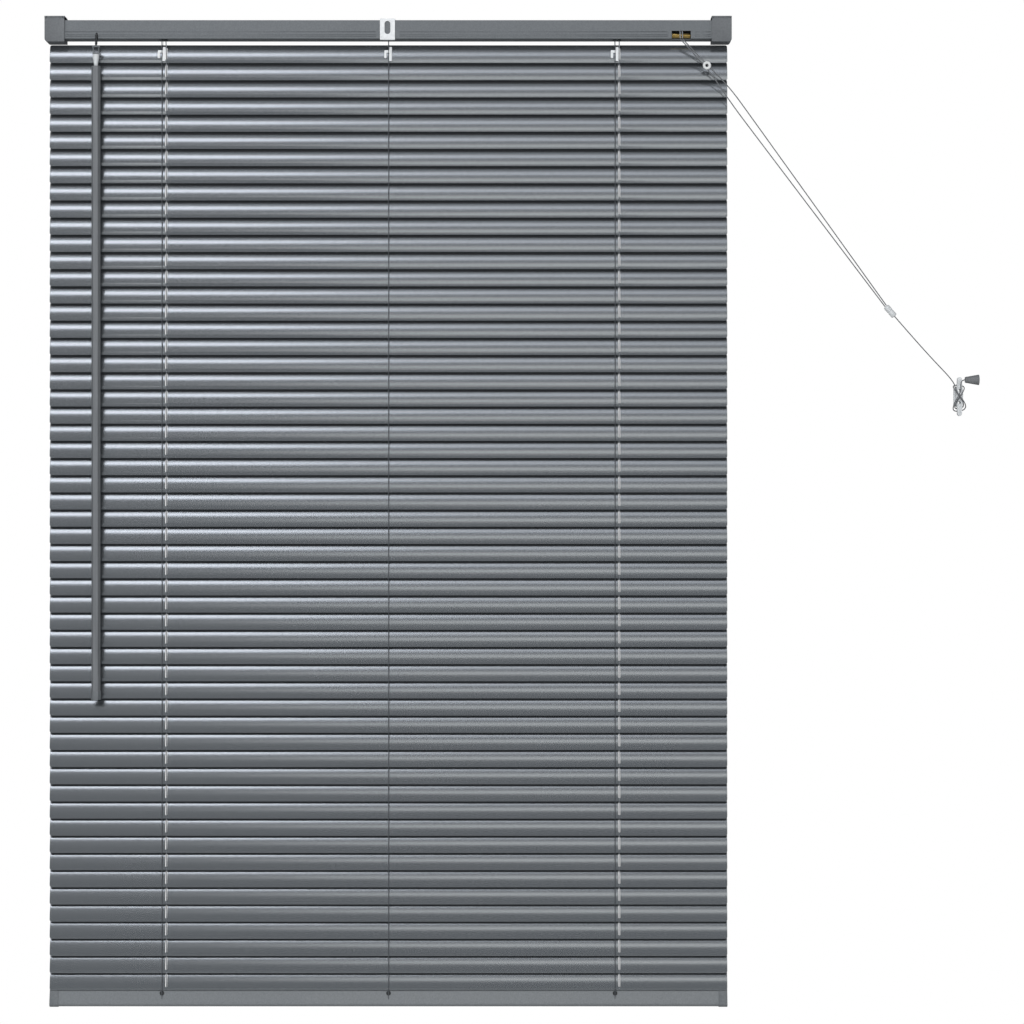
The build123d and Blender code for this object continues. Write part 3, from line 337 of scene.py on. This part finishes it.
def slat_surface():
    """The slat about its own axis, as an array (rows, columns, 3). A row is one line along X, a column one
    section. Across the width v the strip follows a circle arc of the crown's height, and the ends and the
    slots' ends are pulled in by quarter circles."""
    half = np.concatenate([
        np.linspace(0, SLOT_HALF[1] - SLOT_HALF[0], 6),
        SLOT_HALF[1] - SLOT_HALF[0] * (1 - np.sin(np.linspace(0, math.pi / 2, 5)))[1:],
        SLAT_HALF_WIDTH - SLAT_CORNER * (1 - np.sin(np.linspace(0, math.pi / 2, 6))),
    ])
    v = np.concatenate([-half[:0:-1], half])
    beyond = np.clip(np.abs(v) - (SLAT_HALF_WIDTH - SLAT_CORNER), 0, SLAT_CORNER)
    corner = SLAT_CORNER - np.sqrt(SLAT_CORNER**2 - beyond**2)
    inside = np.clip(np.abs(v) - (SLOT_HALF[1] - SLOT_HALF[0]), 0, SLOT_HALF[0])
    round_end = SLOT_HALF[0] - np.sqrt(SLOT_HALF[0] ** 2 - inside**2)
    rim = 0.3 * MM  # a narrow column beside each cut edge keeps the shading even up to it
    columns = [-SLAT_HALF_LENGTH + corner, -SLAT_HALF_LENGTH + corner + rim]
    for middle in SLAT_SLOTS:
        columns += [
            middle - SLOT_HALF[0] + round_end - rim,
            middle - SLOT_HALF[0] + round_end,
            middle + SLOT_HALF[0] - round_end,
            middle + SLOT_HALF[0] - round_end + rim,
        ]
    columns += [SLAT_HALF_LENGTH - corner - rim, SLAT_HALF_LENGTH - corner]
    x = np.stack(columns, axis=1)
    radius = (SLAT_HALF_WIDTH**2 + SLAT_CROWN**2) / (2 * SLAT_CROWN)
    rise = np.sqrt(radius**2 - v**2) - (radius - SLAT_CROWN)
    across = v[:, None] * FRONT_WAY - rise[:, None] * HOLLOW_WAY
    points = np.repeat(across[:, None, :], x.shape[1], axis=1)
    points[:, :, 0] = x
    keep = np.ones((len(v) - 1, x.shape[1] - 1), bool)
    in_slot = np.abs(v[:-1] + v[1:]) / 2 < SLOT_HALF[1]
    for slot_column in (3, 7):
        keep[in_slot, slot_column] = False
    return points, keep


def rung(seat, x, side):
    """One cross thread of a ladder: a thin tube that hugs the slat from the back string to the front one,
    a little proud of the enamel on the room side (side -1) or the wall side (side 1)."""
    v = np.linspace(-RUNG_REACH, RUNG_REACH, 9)
    radius = (SLAT_HALF_WIDTH**2 + SLAT_CROWN**2) / (2 * SLAT_CROWN)
    reach = np.clip(v, -SLAT_HALF_WIDTH, SLAT_HALF_WIDTH)
    rise = np.sqrt(radius**2 - reach**2) - (radius - SLAT_CROWN)
    out = side * (SLAT_THICKNESS / 2 + RUNG_CLEAR) - rise
    centres = v[:, None] * FRONT_WAY + out[:, None] * HOLLOW_WAY
    centres[:, 0] = x
    return tube_mesh(centres + seat, RUNG_RADIUS, 6)


def middle_of_pack(number):
    """The number of the middle slat of the five that slat number belongs to; the five ride on its body."""
    return PACK_SIZE * ((number - 1) // PACK_SIZE) + PACK_SIZE // 2 + 1


def hold_seat(piece):
    """Gives the piece, which rides the body of the middle slat of its five, its own copy of its mesh."""
    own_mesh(piece)


strip_points, strip_keep = slat_surface()
slat_vertices, slat_quads = sheet_mesh(strip_points, strip_keep)
for number in range(1, SLAT_COUNT + 1):
    middle_slat = middle_of_pack(number)
    body = f"slat_{middle_slat:02d}"
    seat = np.array([0, AXIS_Y, TOP_SLAT_Z - (number - 1) * SLAT_PITCH])
    strip = new_piece(
        f"slat_{number:02d}_strip", [(slat_vertices + seat, slat_quads, 0)], [enamel], body
    )
    wall = strip.modifiers.new("thickness", "SOLIDIFY")
    wall.thickness = SLAT_THICKNESS
    wall.offset = 0
    if number == middle_slat:
        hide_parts(f"slat_{number:02d}")
    if number == middle_slat + 1:
        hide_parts(f"slat_pack_{(number - 1) // PACK_SIZE + 1:02d}")
    cross_threads = [(*rung(seat, x - side * RUNG_SHIFT, side), 0) for x in LADDERS for side in (-1, 1)]
    threads = new_piece(f"slat_{number:02d}_rungs", cross_threads, [braid], body)
    if number != middle_slat:
        hold_seat(strip)
        hold_seat(threads)

# ---- ladders: braided polyester strings, one before and one behind the slats at each of three places ----
# Their heads wind up over the drums in the head rail. On the blind itself the strings gather into the stack
# as it rises, and the front and back strings run in opposite ways as the slats open; here each set is one
# piece on its ladder body.
STRING_RADIUS = 0.4 * MM
STRING_SIDES = 8
BRAID_PITCH = 2.4 * MM
DRUM_REACH = 10 * MM
DRUM_LEAVE_Z = -3 * MM


def braided(centres, radius, pitch, sides=STRING_SIDES):
    """A tube along straight or curved centre points whose radius swells by a twelfth, twice in each pitch
    along its length, as the crossings of a round braid do."""
    centres = np.asarray(centres, float)
    run = np.concatenate([[0], np.cumsum(np.linalg.norm(np.diff(centres, axis=0), axis=1))])
    return tube_mesh(centres, radius * (1 + 0.08 * np.cos(2 * math.pi * run / pitch)), sides)


for place in ("front", "back"):
    low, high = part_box(f"ladder_{place}_strings")
    line_y = (low.y + high.y) / 2
    heights = np.arange(high.z, low.z, -BRAID_PITCH / 4)
    parts = []
    for x in LADDERS:
        line = np.stack([np.full_like(heights, x), np.full_like(heights, line_y), heights], axis=1)
        parts.append((*braided(line, STRING_RADIUS, BRAID_PITCH, 6), 0))
    strings = new_piece(f"ladder_{place}_braid", parts, [braid], f"ladder_{place}", outwards=False)
    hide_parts(f"ladder_{place}_strings")
    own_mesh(strings)
    drum_y = AXIS_Y + math.copysign(DRUM_REACH, line_y - AXIS_Y)
    parts = []
    for x in LADDERS:
        start = np.array([x, drum_y, DRUM_LEAVE_Z])
        end = np.array([x, line_y, high.z])
        line = start + np.linspace(0, 1, 40)[:, None] * (end - start)
        parts.append((*braided(line, STRING_RADIUS, BRAID_PITCH), 0))
    heads = new_piece(f"ladder_{place}_heads", parts, [braid], None)
    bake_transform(heads)
    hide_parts("ladder_heads")

# ---- lift cords: 1.4 mm braided polyester from the bottom rail's knots up through the slots ----
# Each rises through its eyelet and runs along the open top of the head rail to the cord lock.
CORD_RADIUS = 0.7 * MM
CORD_BRAID_PITCH = 3.6 * MM
DROP_TOP = -27.2 * MM


def cord_polyester(name, colour, dark, light):
    """Round-braided polyester: matt, mottled strand by strand, with cells as large as the strands."""
    made, tree, shader = solid_material(name, colour, 0.7, 0.0, Sheen_Weight=0.3)
    mottle(tree, shader, dark, light, 0.455)
    grain(tree, shader, 0.588, 0.15, (1, 1, 0.5), "ShaderNodeTexVoronoi")
    return made


pale_cord = cord_polyester("braided_lift_cord", "#8B8F94", "#7A7E83", "#9CA0A5")


def nurbs_cord(name, points, radius, material, body):
    """A smooth round cord: one NURBS curve of order 3 with these control points, filled to radius."""
    curve = bpy.data.curves.new(name, "CURVE")
    curve.dimensions = "3D"
    curve.bevel_depth = radius
    curve.bevel_resolution = 4
    curve.resolution_u = 24
    curve.use_fill_caps = True
    line = curve.splines.new("NURBS")
    line.points.add(len(points) - 1)
    line.points.foreach_set("co", [value for point in points for value in (*point, 1.0)])
    line.order_u = 3
    line.use_endpoint_u = True
    curve.materials.append(material)
    made = bpy.data.objects.new(name, curve)
    bpy.context.scene.collection.objects.link(made)
    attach(made, body)
    return made


LOCK_EXIT_X = 384.0 * MM
RUN_Z = 9.6 * MM
for hand, x, run_y, exit_x in (
    ("left", -292.0 * MM, -20.2 * MM, LOCK_EXIT_X - 1.5 * MM),
    ("right", 303.0 * MM, -22.2 * MM, LOCK_EXIT_X + 1.5 * MM),
):
    knot_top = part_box("cord_knots")[1].z
    heights = np.arange(DROP_TOP, knot_top - 0.5 * MM, -CORD_BRAID_PITCH / 4)
    line = np.stack([np.full_like(heights, x), np.full_like(heights, AXIS_Y), heights], axis=1)
    rope = [(*braided(line, CORD_RADIUS, CORD_BRAID_PITCH), 0)]
    drop = new_piece(f"lift_cord_{hand}_drop", rope, [pale_cord], "headrail", outwards=False)
    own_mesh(drop)
    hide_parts(f"lift_cord_{hand}")
    route = [
        (x, AXIS_Y, DROP_TOP), (x, AXIS_Y - 2 * MM, -22 * MM),
        (x, -20.2 * MM, -16.2 * MM), (x, -20.2 * MM, 6.6 * MM),
        (x + 8 * MM, run_y, RUN_Z), (exit_x - 5 * MM, run_y, RUN_Z), (exit_x, -24.6 * MM, -1 * MM),
        (exit_x, -27.8 * MM, -8 * MM), (exit_x, -29.4 * MM, -12.8 * MM),
    ]
    run = nurbs_cord(f"lift_cord_{hand}_run", route, CORD_RADIUS, pale_cord, "headrail")
    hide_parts(f"lift_cord_{hand}")

# ---- pull cords: the same 1.4 mm cord, two strands out of the lock, through the ring, to the joiner ----
# One strand goes on to the wall cleat, round its horns in a figure of eight, and ends in the tassel.
dark_cord = cord_polyester("braided_pull_cord", "#6A6C6F", "#5A5C5F", "#7B7D80")
upper_route = [
    (385.5, -29.4, -13.7), (418.15, -29.4, -47.95), (447.0, -29.4, -77.0), (471.5, -28.2, -110.0),
    (653.64, -19.01, -361.98),
]
lower_route = [
    (382.5, -29.4, -13.7), (416.65, -29.4, -49.45), (448.6, -29.4, -97.0), (473.0, -28.2, -129.5),
    (651.90, -19.01, -363.49),
]
tail_route = [
    (664.67, -18.6, -376.48), (688, -18, -403.2), (715, -17, -433.0), (743.0, -15.5, -462.0),
    (745.0, -17.7, -473.5), (755.8, -17.7, -489.5), (756.2, -7, -496.3), (744.6, -7, -497.9),
    (744.4, -19.5, -490.1), (756.4, -19.5, -472.9), (757.0, -7, -466.7), (742.8, -5.6, -465.7),
    (742.2, -21.1, -472.9), (758.2, -21.3, -490.7), (758.6, -7, -499.5), (742.2, -7, -501.3),
    (742.0, -22.5, -490.5), (751.4, -23.1, -475.5), (750.6, -20.9, -460.3), (756.6, -20.3, -459.8),
]
for part, route in (("upper", upper_route), ("lower", lower_route), ("tail", tail_route)):
    points = [tuple(value * MM for value in point) for point in route]
    strand = nurbs_cord(f"pull_cord_{part}_braid", points, CORD_RADIUS, dark_cord, "headrail")
    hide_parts(f"pull_cord_{part}")

# ---- turned and moulded small parts on the cord and the wand: ring, joiner, tassel, sleeve ----
# Grey, white and clear plastics, injection moulded: soft edges, an even fine grain and, on the clear one,
# a slight milkiness.
# Moulded ABS: satin grey with the mould's fine grain.
grey_abs, abs_tree, abs_shader = solid_material("grey_abs", "#6F7376", 0.42, 0.0, Coat_Weight=0.15)
mottle(abs_tree, abs_shader, "#6A6E71", "#75797C", 2.0)
grain(abs_tree, abs_shader, 0.417, 0.01)
# Moulded nylon: white and waxy, a little uneven.
white_nylon, nylon_tree, nylon_shader = solid_material("white_nylon", "#E4E6E6", 0.35, 0.0)
mottle(nylon_tree, nylon_shader, "#DDDFDF", "#EAECEC", 2.5)
grain(nylon_tree, nylon_shader, 0.5, 0.008)
# Moulded polycarbonate: glassy and pale, some of the light goes through.
clear, clear_tree, clear_shader = solid_material(
    "clear_polycarbonate", "#EEF1F3", 0.18, 0.0, Transmission_Weight=0.2, IOR=1.585
)
mottle(clear_tree, clear_shader, "#E6EAEC", "#F4F6F7", 3.33)
grain(clear_tree, clear_shader, 1.11, 0.01)
# The tassel's ABS: a shade lighter and duller than the other grey mouldings.
tassel_abs, tassel_tree, tassel_shader = solid_material("tassel_grey_abs", "#77797B", 0.45)
mottle(tassel_tree, tassel_shader, "#707274", "#7E8082", 2.0)
grain(tassel_tree, tassel_shader, 0.417, 0.01)


def turned(profile, start, way, sides=40):
    """A solid turned about the line from start along way. profile is a closed loop of (distance along it,
    radius) pairs, each carried round a full circle."""
    way = np.asarray(way, float) / np.linalg.norm(way)
    helper = np.array([1.0, 0, 0]) if abs(way[0]) < 0.7 else np.array([0, 1.0, 0])
    first = np.cross(way, helper)
    first /= np.linalg.norm(first)
    second = np.cross(way, first)
    profile = np.asarray([*profile, profile[0]], float)
    angles = np.linspace(0, 2 * math.pi, sides, endpoint=False)
    ring = np.cos(angles)[:, None] * first + np.sin(angles)[:, None] * second
    points = np.asarray(start) + profile[None, :, :1] * way + ring[:, None, :] * profile[None, :, 1:]
    return sheet_mesh(points, around=True)


def weld(piece):
    """Merges the piece's doubled points and points its faces outwards."""
    work = bmesh.new()
    work.from_mesh(piece.data)
    bmesh.ops.remove_doubles(work, verts=work.verts, dist=1e-6)
    bmesh.ops.dissolve_degenerate(work, edges=work.edges, dist=1e-7)
    bmesh.ops.recalc_face_normals(work, faces=work.faces)
    work.to_mesh(piece.data)
    work.free()
    return piece


ring_low, ring_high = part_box("cord_stop_ring")
ring_middle = [(ring_low.x + ring_high.x) / 2, ring_low.y, (ring_low.z + ring_high.z) / 2]
ring_radius = (ring_high.x - ring_low.x) / 2
ring_depth = ring_high.y - ring_low.y
bore = 2.0 * MM
turn = np.linspace(0, math.pi, 9)
bead_middle = (ring_radius + bore) / 2
bead_half = (ring_radius - bore) / 2
half_depth = ring_depth / 2
loop = [(half_depth - half_depth * math.sin(a), bead_middle - bead_half * math.cos(a)) for a in turn]
loop += [(half_depth + half_depth * math.sin(a), bead_middle + bead_half * math.cos(a)) for a in turn[1:-1]]
ring_parts = [(*turned(loop, ring_middle, (0, 1, 0)), 0)]
stop_ring = weld(new_piece("stop_ring", ring_parts, [white_nylon], "headrail"))
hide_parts("cord_stop_ring")

joiner_start = np.array([653.0, -19.0, -363.0]) * MM
joiner_end = np.array([664.6, -18.6, -376.4]) * MM
joiner_length = float(np.linalg.norm(joiner_end - joiner_start))
across = [0.01, 1.0, 2.6, 3.6, 4.0, 4.0, 3.75, 3.75, 4.0, 4.0, 3.6, 2.6, 1.0, 0.01]
far_mm = joiner_length / MM
along = [0, 0, 0.2, 0.8, 1.6, 7.4, 7.9, 9.8, 10.3, far_mm - 1.6, far_mm - 0.8, far_mm - 0.2, far_mm, far_mm]
loop = [(a * MM, r * MM) for a, r in zip(along, across)]
joiner_parts = [(*turned(loop, joiner_start, joiner_end - joiner_start), 0)]
joiner = weld(new_piece("cord_joiner_shell", joiner_parts, [clear], "headrail"))
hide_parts("cord_joiner")

tassel_low, tassel_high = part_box("tassel")
tassel_axis = [tassel_low.x, (tassel_low.y + tassel_high.y) / 2, (tassel_low.z + tassel_high.z) / 2]
tassel_length = tassel_high.x - tassel_low.x
rim = (tassel_high.y - tassel_low.y) / 2
small = rim * 4 / 7
loop = [(0, 0.8 * MM), (0, small - 0.5 * MM), (0.3 * MM, small - 0.1 * MM), (0.9 * MM, small)]
for groove in (3.0, 4.6):
    here = small + (rim - small) * groove * MM / tassel_length
    loop += [
        ((groove - 0.4) * MM, here - 0.05 * MM), (groove * MM, here - 0.35 * MM), ((groove + 0.4) * MM, here),
    ]
loop += [
    (tassel_length - 0.8 * MM, rim), (tassel_length - 0.2 * MM, rim - 0.15 * MM),
    (tassel_length, rim - 0.7 * MM), (tassel_length, rim - 1.4 * MM),
    (tassel_length - 3 * MM, rim - 2.0 * MM), (tassel_length - 3 * MM, 0.8 * MM),
]
cone_parts = [(*turned(loop, tassel_axis, (1, 0, 0), 48), 0)]
cone = weld(new_piece("tassel_cone", cone_parts, [tassel_abs], "headrail"))
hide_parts("tassel")

sleeve_low, sleeve_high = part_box("wand_sleeve")
sleeve_top = [(sleeve_low.x + sleeve_high.x) / 2, (sleeve_low.y + sleeve_high.y) / 2, sleeve_high.z]
sleeve_length = sleeve_high.z - sleeve_low.z
loop = [
    (0, 1.0 * MM), (0, 3.6 * MM), (0.3 * MM, 4.1 * MM), (1.2 * MM, 4.2 * MM), (4 * MM, 4.1 * MM),
    (8 * MM, 3.5 * MM), (11 * MM, 2.9 * MM), (13 * MM, 2.7 * MM),
    (sleeve_length, 2.65 * MM), (sleeve_length, 1.0 * MM),
]
sleeve_parts = [(*turned(loop, sleeve_top, (0, 0, -1)), 0)]
sleeve = weld(new_piece("wand_funnel", sleeve_parts, [clear], "wand"))
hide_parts("wand_sleeve")

# ---- wand: a hexagonal extruded rod of grey plastic, 10.4 mm across its flats, corners softened ----
WAND_CORNER = 0.9 * MM
wand_low, wand_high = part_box("wand")
flat = (wand_high.y - wand_low.y) / 2
wand_middle = ((wand_low.x + wand_high.x) / 2, (wand_low.y + wand_high.y) / 2)
first_corner = 0 if (wand_high.x - wand_low.x) > (wand_high.y - wand_low.y) else math.pi / 6
# Each corner is a short arc about a point that stands WAND_CORNER inside it.
corner_ways = first_corner + np.arange(6) * math.pi / 3
arc_ways = corner_ways[:, None] + np.linspace(-math.pi / 6, math.pi / 6, 5)
reach = (flat - WAND_CORNER) / math.cos(math.pi / 6)
outline = np.stack([
    wand_middle[0] + reach * np.cos(corner_ways)[:, None] + WAND_CORNER * np.cos(arc_ways),
    wand_middle[1] + reach * np.sin(corner_ways)[:, None] + WAND_CORNER * np.sin(arc_ways),
], axis=-1).reshape(-1, 2)
levels = np.linspace(wand_low.z, wand_high.z, 12)
skin = np.empty((len(outline), len(levels), 3))
skin[:, :, :2] = outline[:, None, :]
skin[:, :, 2] = levels
skin_points, skin_faces = sheet_mesh(skin, around=True)
ends = [[side * len(levels) for side in range(len(outline))],
        [side * len(levels) + len(levels) - 1 for side in reversed(range(len(outline)))]]
# Extruded polystyrene: a gloss that runs along the rod, with the die's fine lines.
extruded, extruded_tree, extruded_shader = solid_material(
    "extruded_grey_polystyrene", "#74777A", 0.3, 0.0, Coat_Weight=0.3, Coat_Roughness=0.15
)
mottle(extruded_tree, extruded_shader, "#6E7174", "#7A7D80", 3.33, (1, 1, 0.05))
grain(extruded_tree, extruded_shader, 0.625, 0.012, (1, 1, 0.02))
wand_parts = [(skin_points, skin_faces.tolist() + ends, 0)]
rod = new_piece("wand_rod", wand_parts, [extruded], "wand")
rod.data.polygons.foreach_set("use_smooth", [False] * len(rod.data.polygons))
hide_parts("wand")

# ---- head rail: roll-formed steel channel, powder coated grey, with three pressed lines along its face ----
# The lines stiffen the thin front wall; they stand a quarter of a millimetre proud of it.
# Powder coat on steel: grey, satin, with a fine orange peel.
powder, powder_tree, powder_shader = solid_material(
    "powder_coated_steel", "#777B7E", 0.46, 0.25, Coat_Weight=0.12
)
mottle(powder_tree, powder_shader, "#72767A", "#7D8184", 1.67)
grain(powder_tree, powder_shader, 0.556, 0.012)
uneven_gloss(powder_tree, powder_shader, 0.42, 0.5, 12.5)
rail_low, rail_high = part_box("head_rail")
RIB_PROUD = 0.25 * MM
RIB_SPANS = ((-422.5, -16.0), (15.0, 366.0), (402.0, 422.5))  # clear of the brackets, clip and lock
ribs = []
for rib_z, rib_half in ((-4.0 * MM, 0.5 * MM), (-8.0 * MM, 0.5 * MM), (-10.2 * MM, 0.4 * MM)):
    angles = np.linspace(0, math.pi, 7)
    section = np.stack([rail_low.y - RIB_PROUD * np.sin(angles), rib_z + rib_half * np.cos(angles)], axis=1)
    for left, right in RIB_SPANS:
        pressed = np.empty((len(section), 2, 3))
        pressed[:, :, 0] = np.array([left, right]) * MM
        pressed[:, :, 1:] = section[:, None, :]
        points, quads = sheet_mesh(pressed, around=True)
        rows = range(len(section))
        caps = [[2 * row for row in rows], [2 * row + 1 for row in reversed(rows)]]
        ribs.append((points, quads.tolist() + caps, 0))
new_piece("rail_ribs", ribs, [powder], "headrail")


# ---- pressed, moulded and cast parts that keep the frame's shape and get their edges softened ----
# A pressed bracket has bends, a moulding has radii and a cast hook has fillets: none has a knife edge.
def softened(name, material, edge, body=None):
    """A merged copy of a CAD node with its sharp edges rounded to edge, standing in for that node. It rides
    on body, or on the node's own body where none is given."""
    source = frame["nodes"][name]
    mesh = source.data.copy()
    mesh.name = f"{name}_soft"
    mesh.materials.clear()
    mesh.materials.append(material)
    piece = bpy.data.objects.new(f"{name}_soft", mesh)
    bpy.context.scene.collection.objects.link(piece)
    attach(piece, body or source["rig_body"])
    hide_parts(name)
    work = bmesh.new()
    work.from_mesh(mesh)
    bmesh.ops.remove_doubles(work, verts=work.verts, dist=2e-6)
    bmesh.ops.dissolve_limit(work, angle_limit=math.radians(1), verts=work.verts, edges=work.edges)
    bmesh.ops.recalc_face_normals(work, faces=work.faces)
    work.to_mesh(mesh)
    work.free()
    mesh.polygons.foreach_set("use_smooth", [True] * len(mesh.polygons))
    mesh.update()
    bevel = piece.modifiers.new("soft_edges", "BEVEL")
    bevel.width = edge
    bevel.segments = 2
    bevel.limit_method = "ANGLE"
    bevel.angle_limit = math.radians(38)
    bevel.harden_normals = True
    return piece


# Painted bracket steel: the rail's grey, flatter and a little rougher.
bracket_paint, bracket_tree, bracket_shader = solid_material("painted_bracket_steel", "#74777A", 0.48, 0.2)
mottle(bracket_tree, bracket_shader, "#6F7275", "#797C7F", 2.5)
grain(bracket_tree, bracket_shader, 0.667, 0.015)
# Zinc plate: pale metal, clouded where the plating is thicker.
zinc, zinc_tree, zinc_shader = solid_material("zinc_plated_steel", "#A9ACAE", 0.36, 1.0)
mottle(zinc_tree, zinc_shader, "#9C9FA2", "#B4B6B8", 3.85)
grain(zinc_tree, zinc_shader, 0.667, 0.006)
# Rolled brass: yellow metal, slightly tarnished in patches.
brass, brass_tree, brass_shader = solid_material("rolled_brass", "#C2A562", 0.3, 1.0)
mottle(brass_tree, brass_shader, "#B39452", "#CDB272", 2.0)
grain(brass_tree, brass_shader, 0.667, 0.01)
# Moulded acetal: near black, slippery, low gloss.
dark_acetal, acetal_tree, acetal_shader = solid_material("dark_acetal", "#2A2C2E", 0.42)
mottle(acetal_tree, acetal_shader, "#242628", "#313335", 2.0)
grain(acetal_tree, acetal_shader, 0.5, 0.01)
# The bottom rail's powder coat: lighter than the head rail's and a little more metallic.
bottom_paint, bottom_tree, bottom_shader = solid_material(
    "powder_coated_bottom_rail", "#84888B", 0.4, 0.35, Coat_Weight=0.15
)
mottle(bottom_tree, bottom_shader, "#7E8285", "#8A8E91", 1.67)
grain(bottom_tree, bottom_shader, 0.556, 0.01)
# Milky polycarbonate: off-white and glossy, opaque at this thickness.
milky, milky_tree, milky_shader = solid_material("milky_polycarbonate", "#EDEFF1", 0.25, 0.0)
mottle(milky_tree, milky_shader, "#E6E9EB", "#F1F3F4", 3.33)
grain(milky_tree, milky_shader, 1.11, 0.01)
FINISHES = {
    "box_bracket_left": (bracket_paint, "bracket_paint", 0.35),
    "box_bracket_right": (bracket_paint, "bracket_paint", 0.35),
    "bracket_cover_left": (bracket_paint, "bracket_paint", 0.35),
    "bracket_cover_right": (bracket_paint, "bracket_paint", 0.35),
    "centre_support_clip": (milky, "white_plastic", 0.25),
    "tilter_housing": (dark_acetal, "dark_plastic", 0.2),
    "drum_cradles": (grey_abs, "grey_plastic", 0.2),
    "cord_eyelets": (dark_acetal, "dark_plastic", 0.15),
    "cord_lock_body": (dark_acetal, "dark_plastic", 0.2),
    "cord_lock_roller": (brass, "brass", 0.2),
    "cord_lock_pawl": (brass, "brass", 0.15),
    "tilt_rod": (zinc, "zinc", 0.2),
    "worm_gear": (white_nylon, "nylon", 0.08),
    "ladder_drums": (white_nylon, "nylon", 0.15),
    "worm": (dark_acetal, "dark_plastic", 0.08),
    "wand_hook": (grey_abs, "zinc", 0.2),
    "wand_tip": (grey_abs, "wand_plastic", 0.3),
    "cleat": (clear, "clear_plastic", 0.6),
    "rail_end_caps": (grey_abs, "grey_plastic", 0.2),
    "bottom_rail_caps": (grey_abs, "grey_plastic", 0.3),
    "ladder_plugs": (dark_acetal, "dark_plastic", 0.25),
    "cord_knots": (pale_cord, "cord", 0.2),
}
for name, (material, slot, edge_mm) in FINISHES.items():
    softened(name, material, edge_mm * MM)
# The three clips hold the ladders on the top slat, so they ride with it.
clips = softened("ladder_clips", milky, 0.25 * MM, "slat_03")
hold_seat(clips)
for name, material in (("head_rail", powder), ("bottom_rail", bottom_paint)):
    for material_slot in frame["nodes"][name].material_slots:
        material_slot.material = material

# ---- button strings: the ladders' ends, led over the plugs and under the bottom rail's front edge ----
plug_low, plug_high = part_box("ladder_plugs")
rail_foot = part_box("bottom_rail")[0].z
front_face = plug_low.y
parts = []
for x in LADDERS:
    line = np.array([
        (x, front_face + 0.2 * MM, plug_high.z + 4.5 * MM),
        (x, front_face - 0.25 * MM, plug_high.z + 0.5 * MM),
        (x, front_face - 0.35 * MM, (plug_low.z + plug_high.z) / 2),
        (x, front_face - 0.3 * MM, plug_low.z - 1 * MM),
        (x, front_face + 0.1 * MM, plug_low.z - 5 * MM), (x, front_face + 0.9 * MM, plug_low.z - 9 * MM),
        (x, front_face + 1.9 * MM, rail_foot + 1.6 * MM),
    ])
    parts.append((*tube_mesh(line, 0.45 * MM, 8), 0))
new_piece("button_strings", parts, [braid], "bottom")
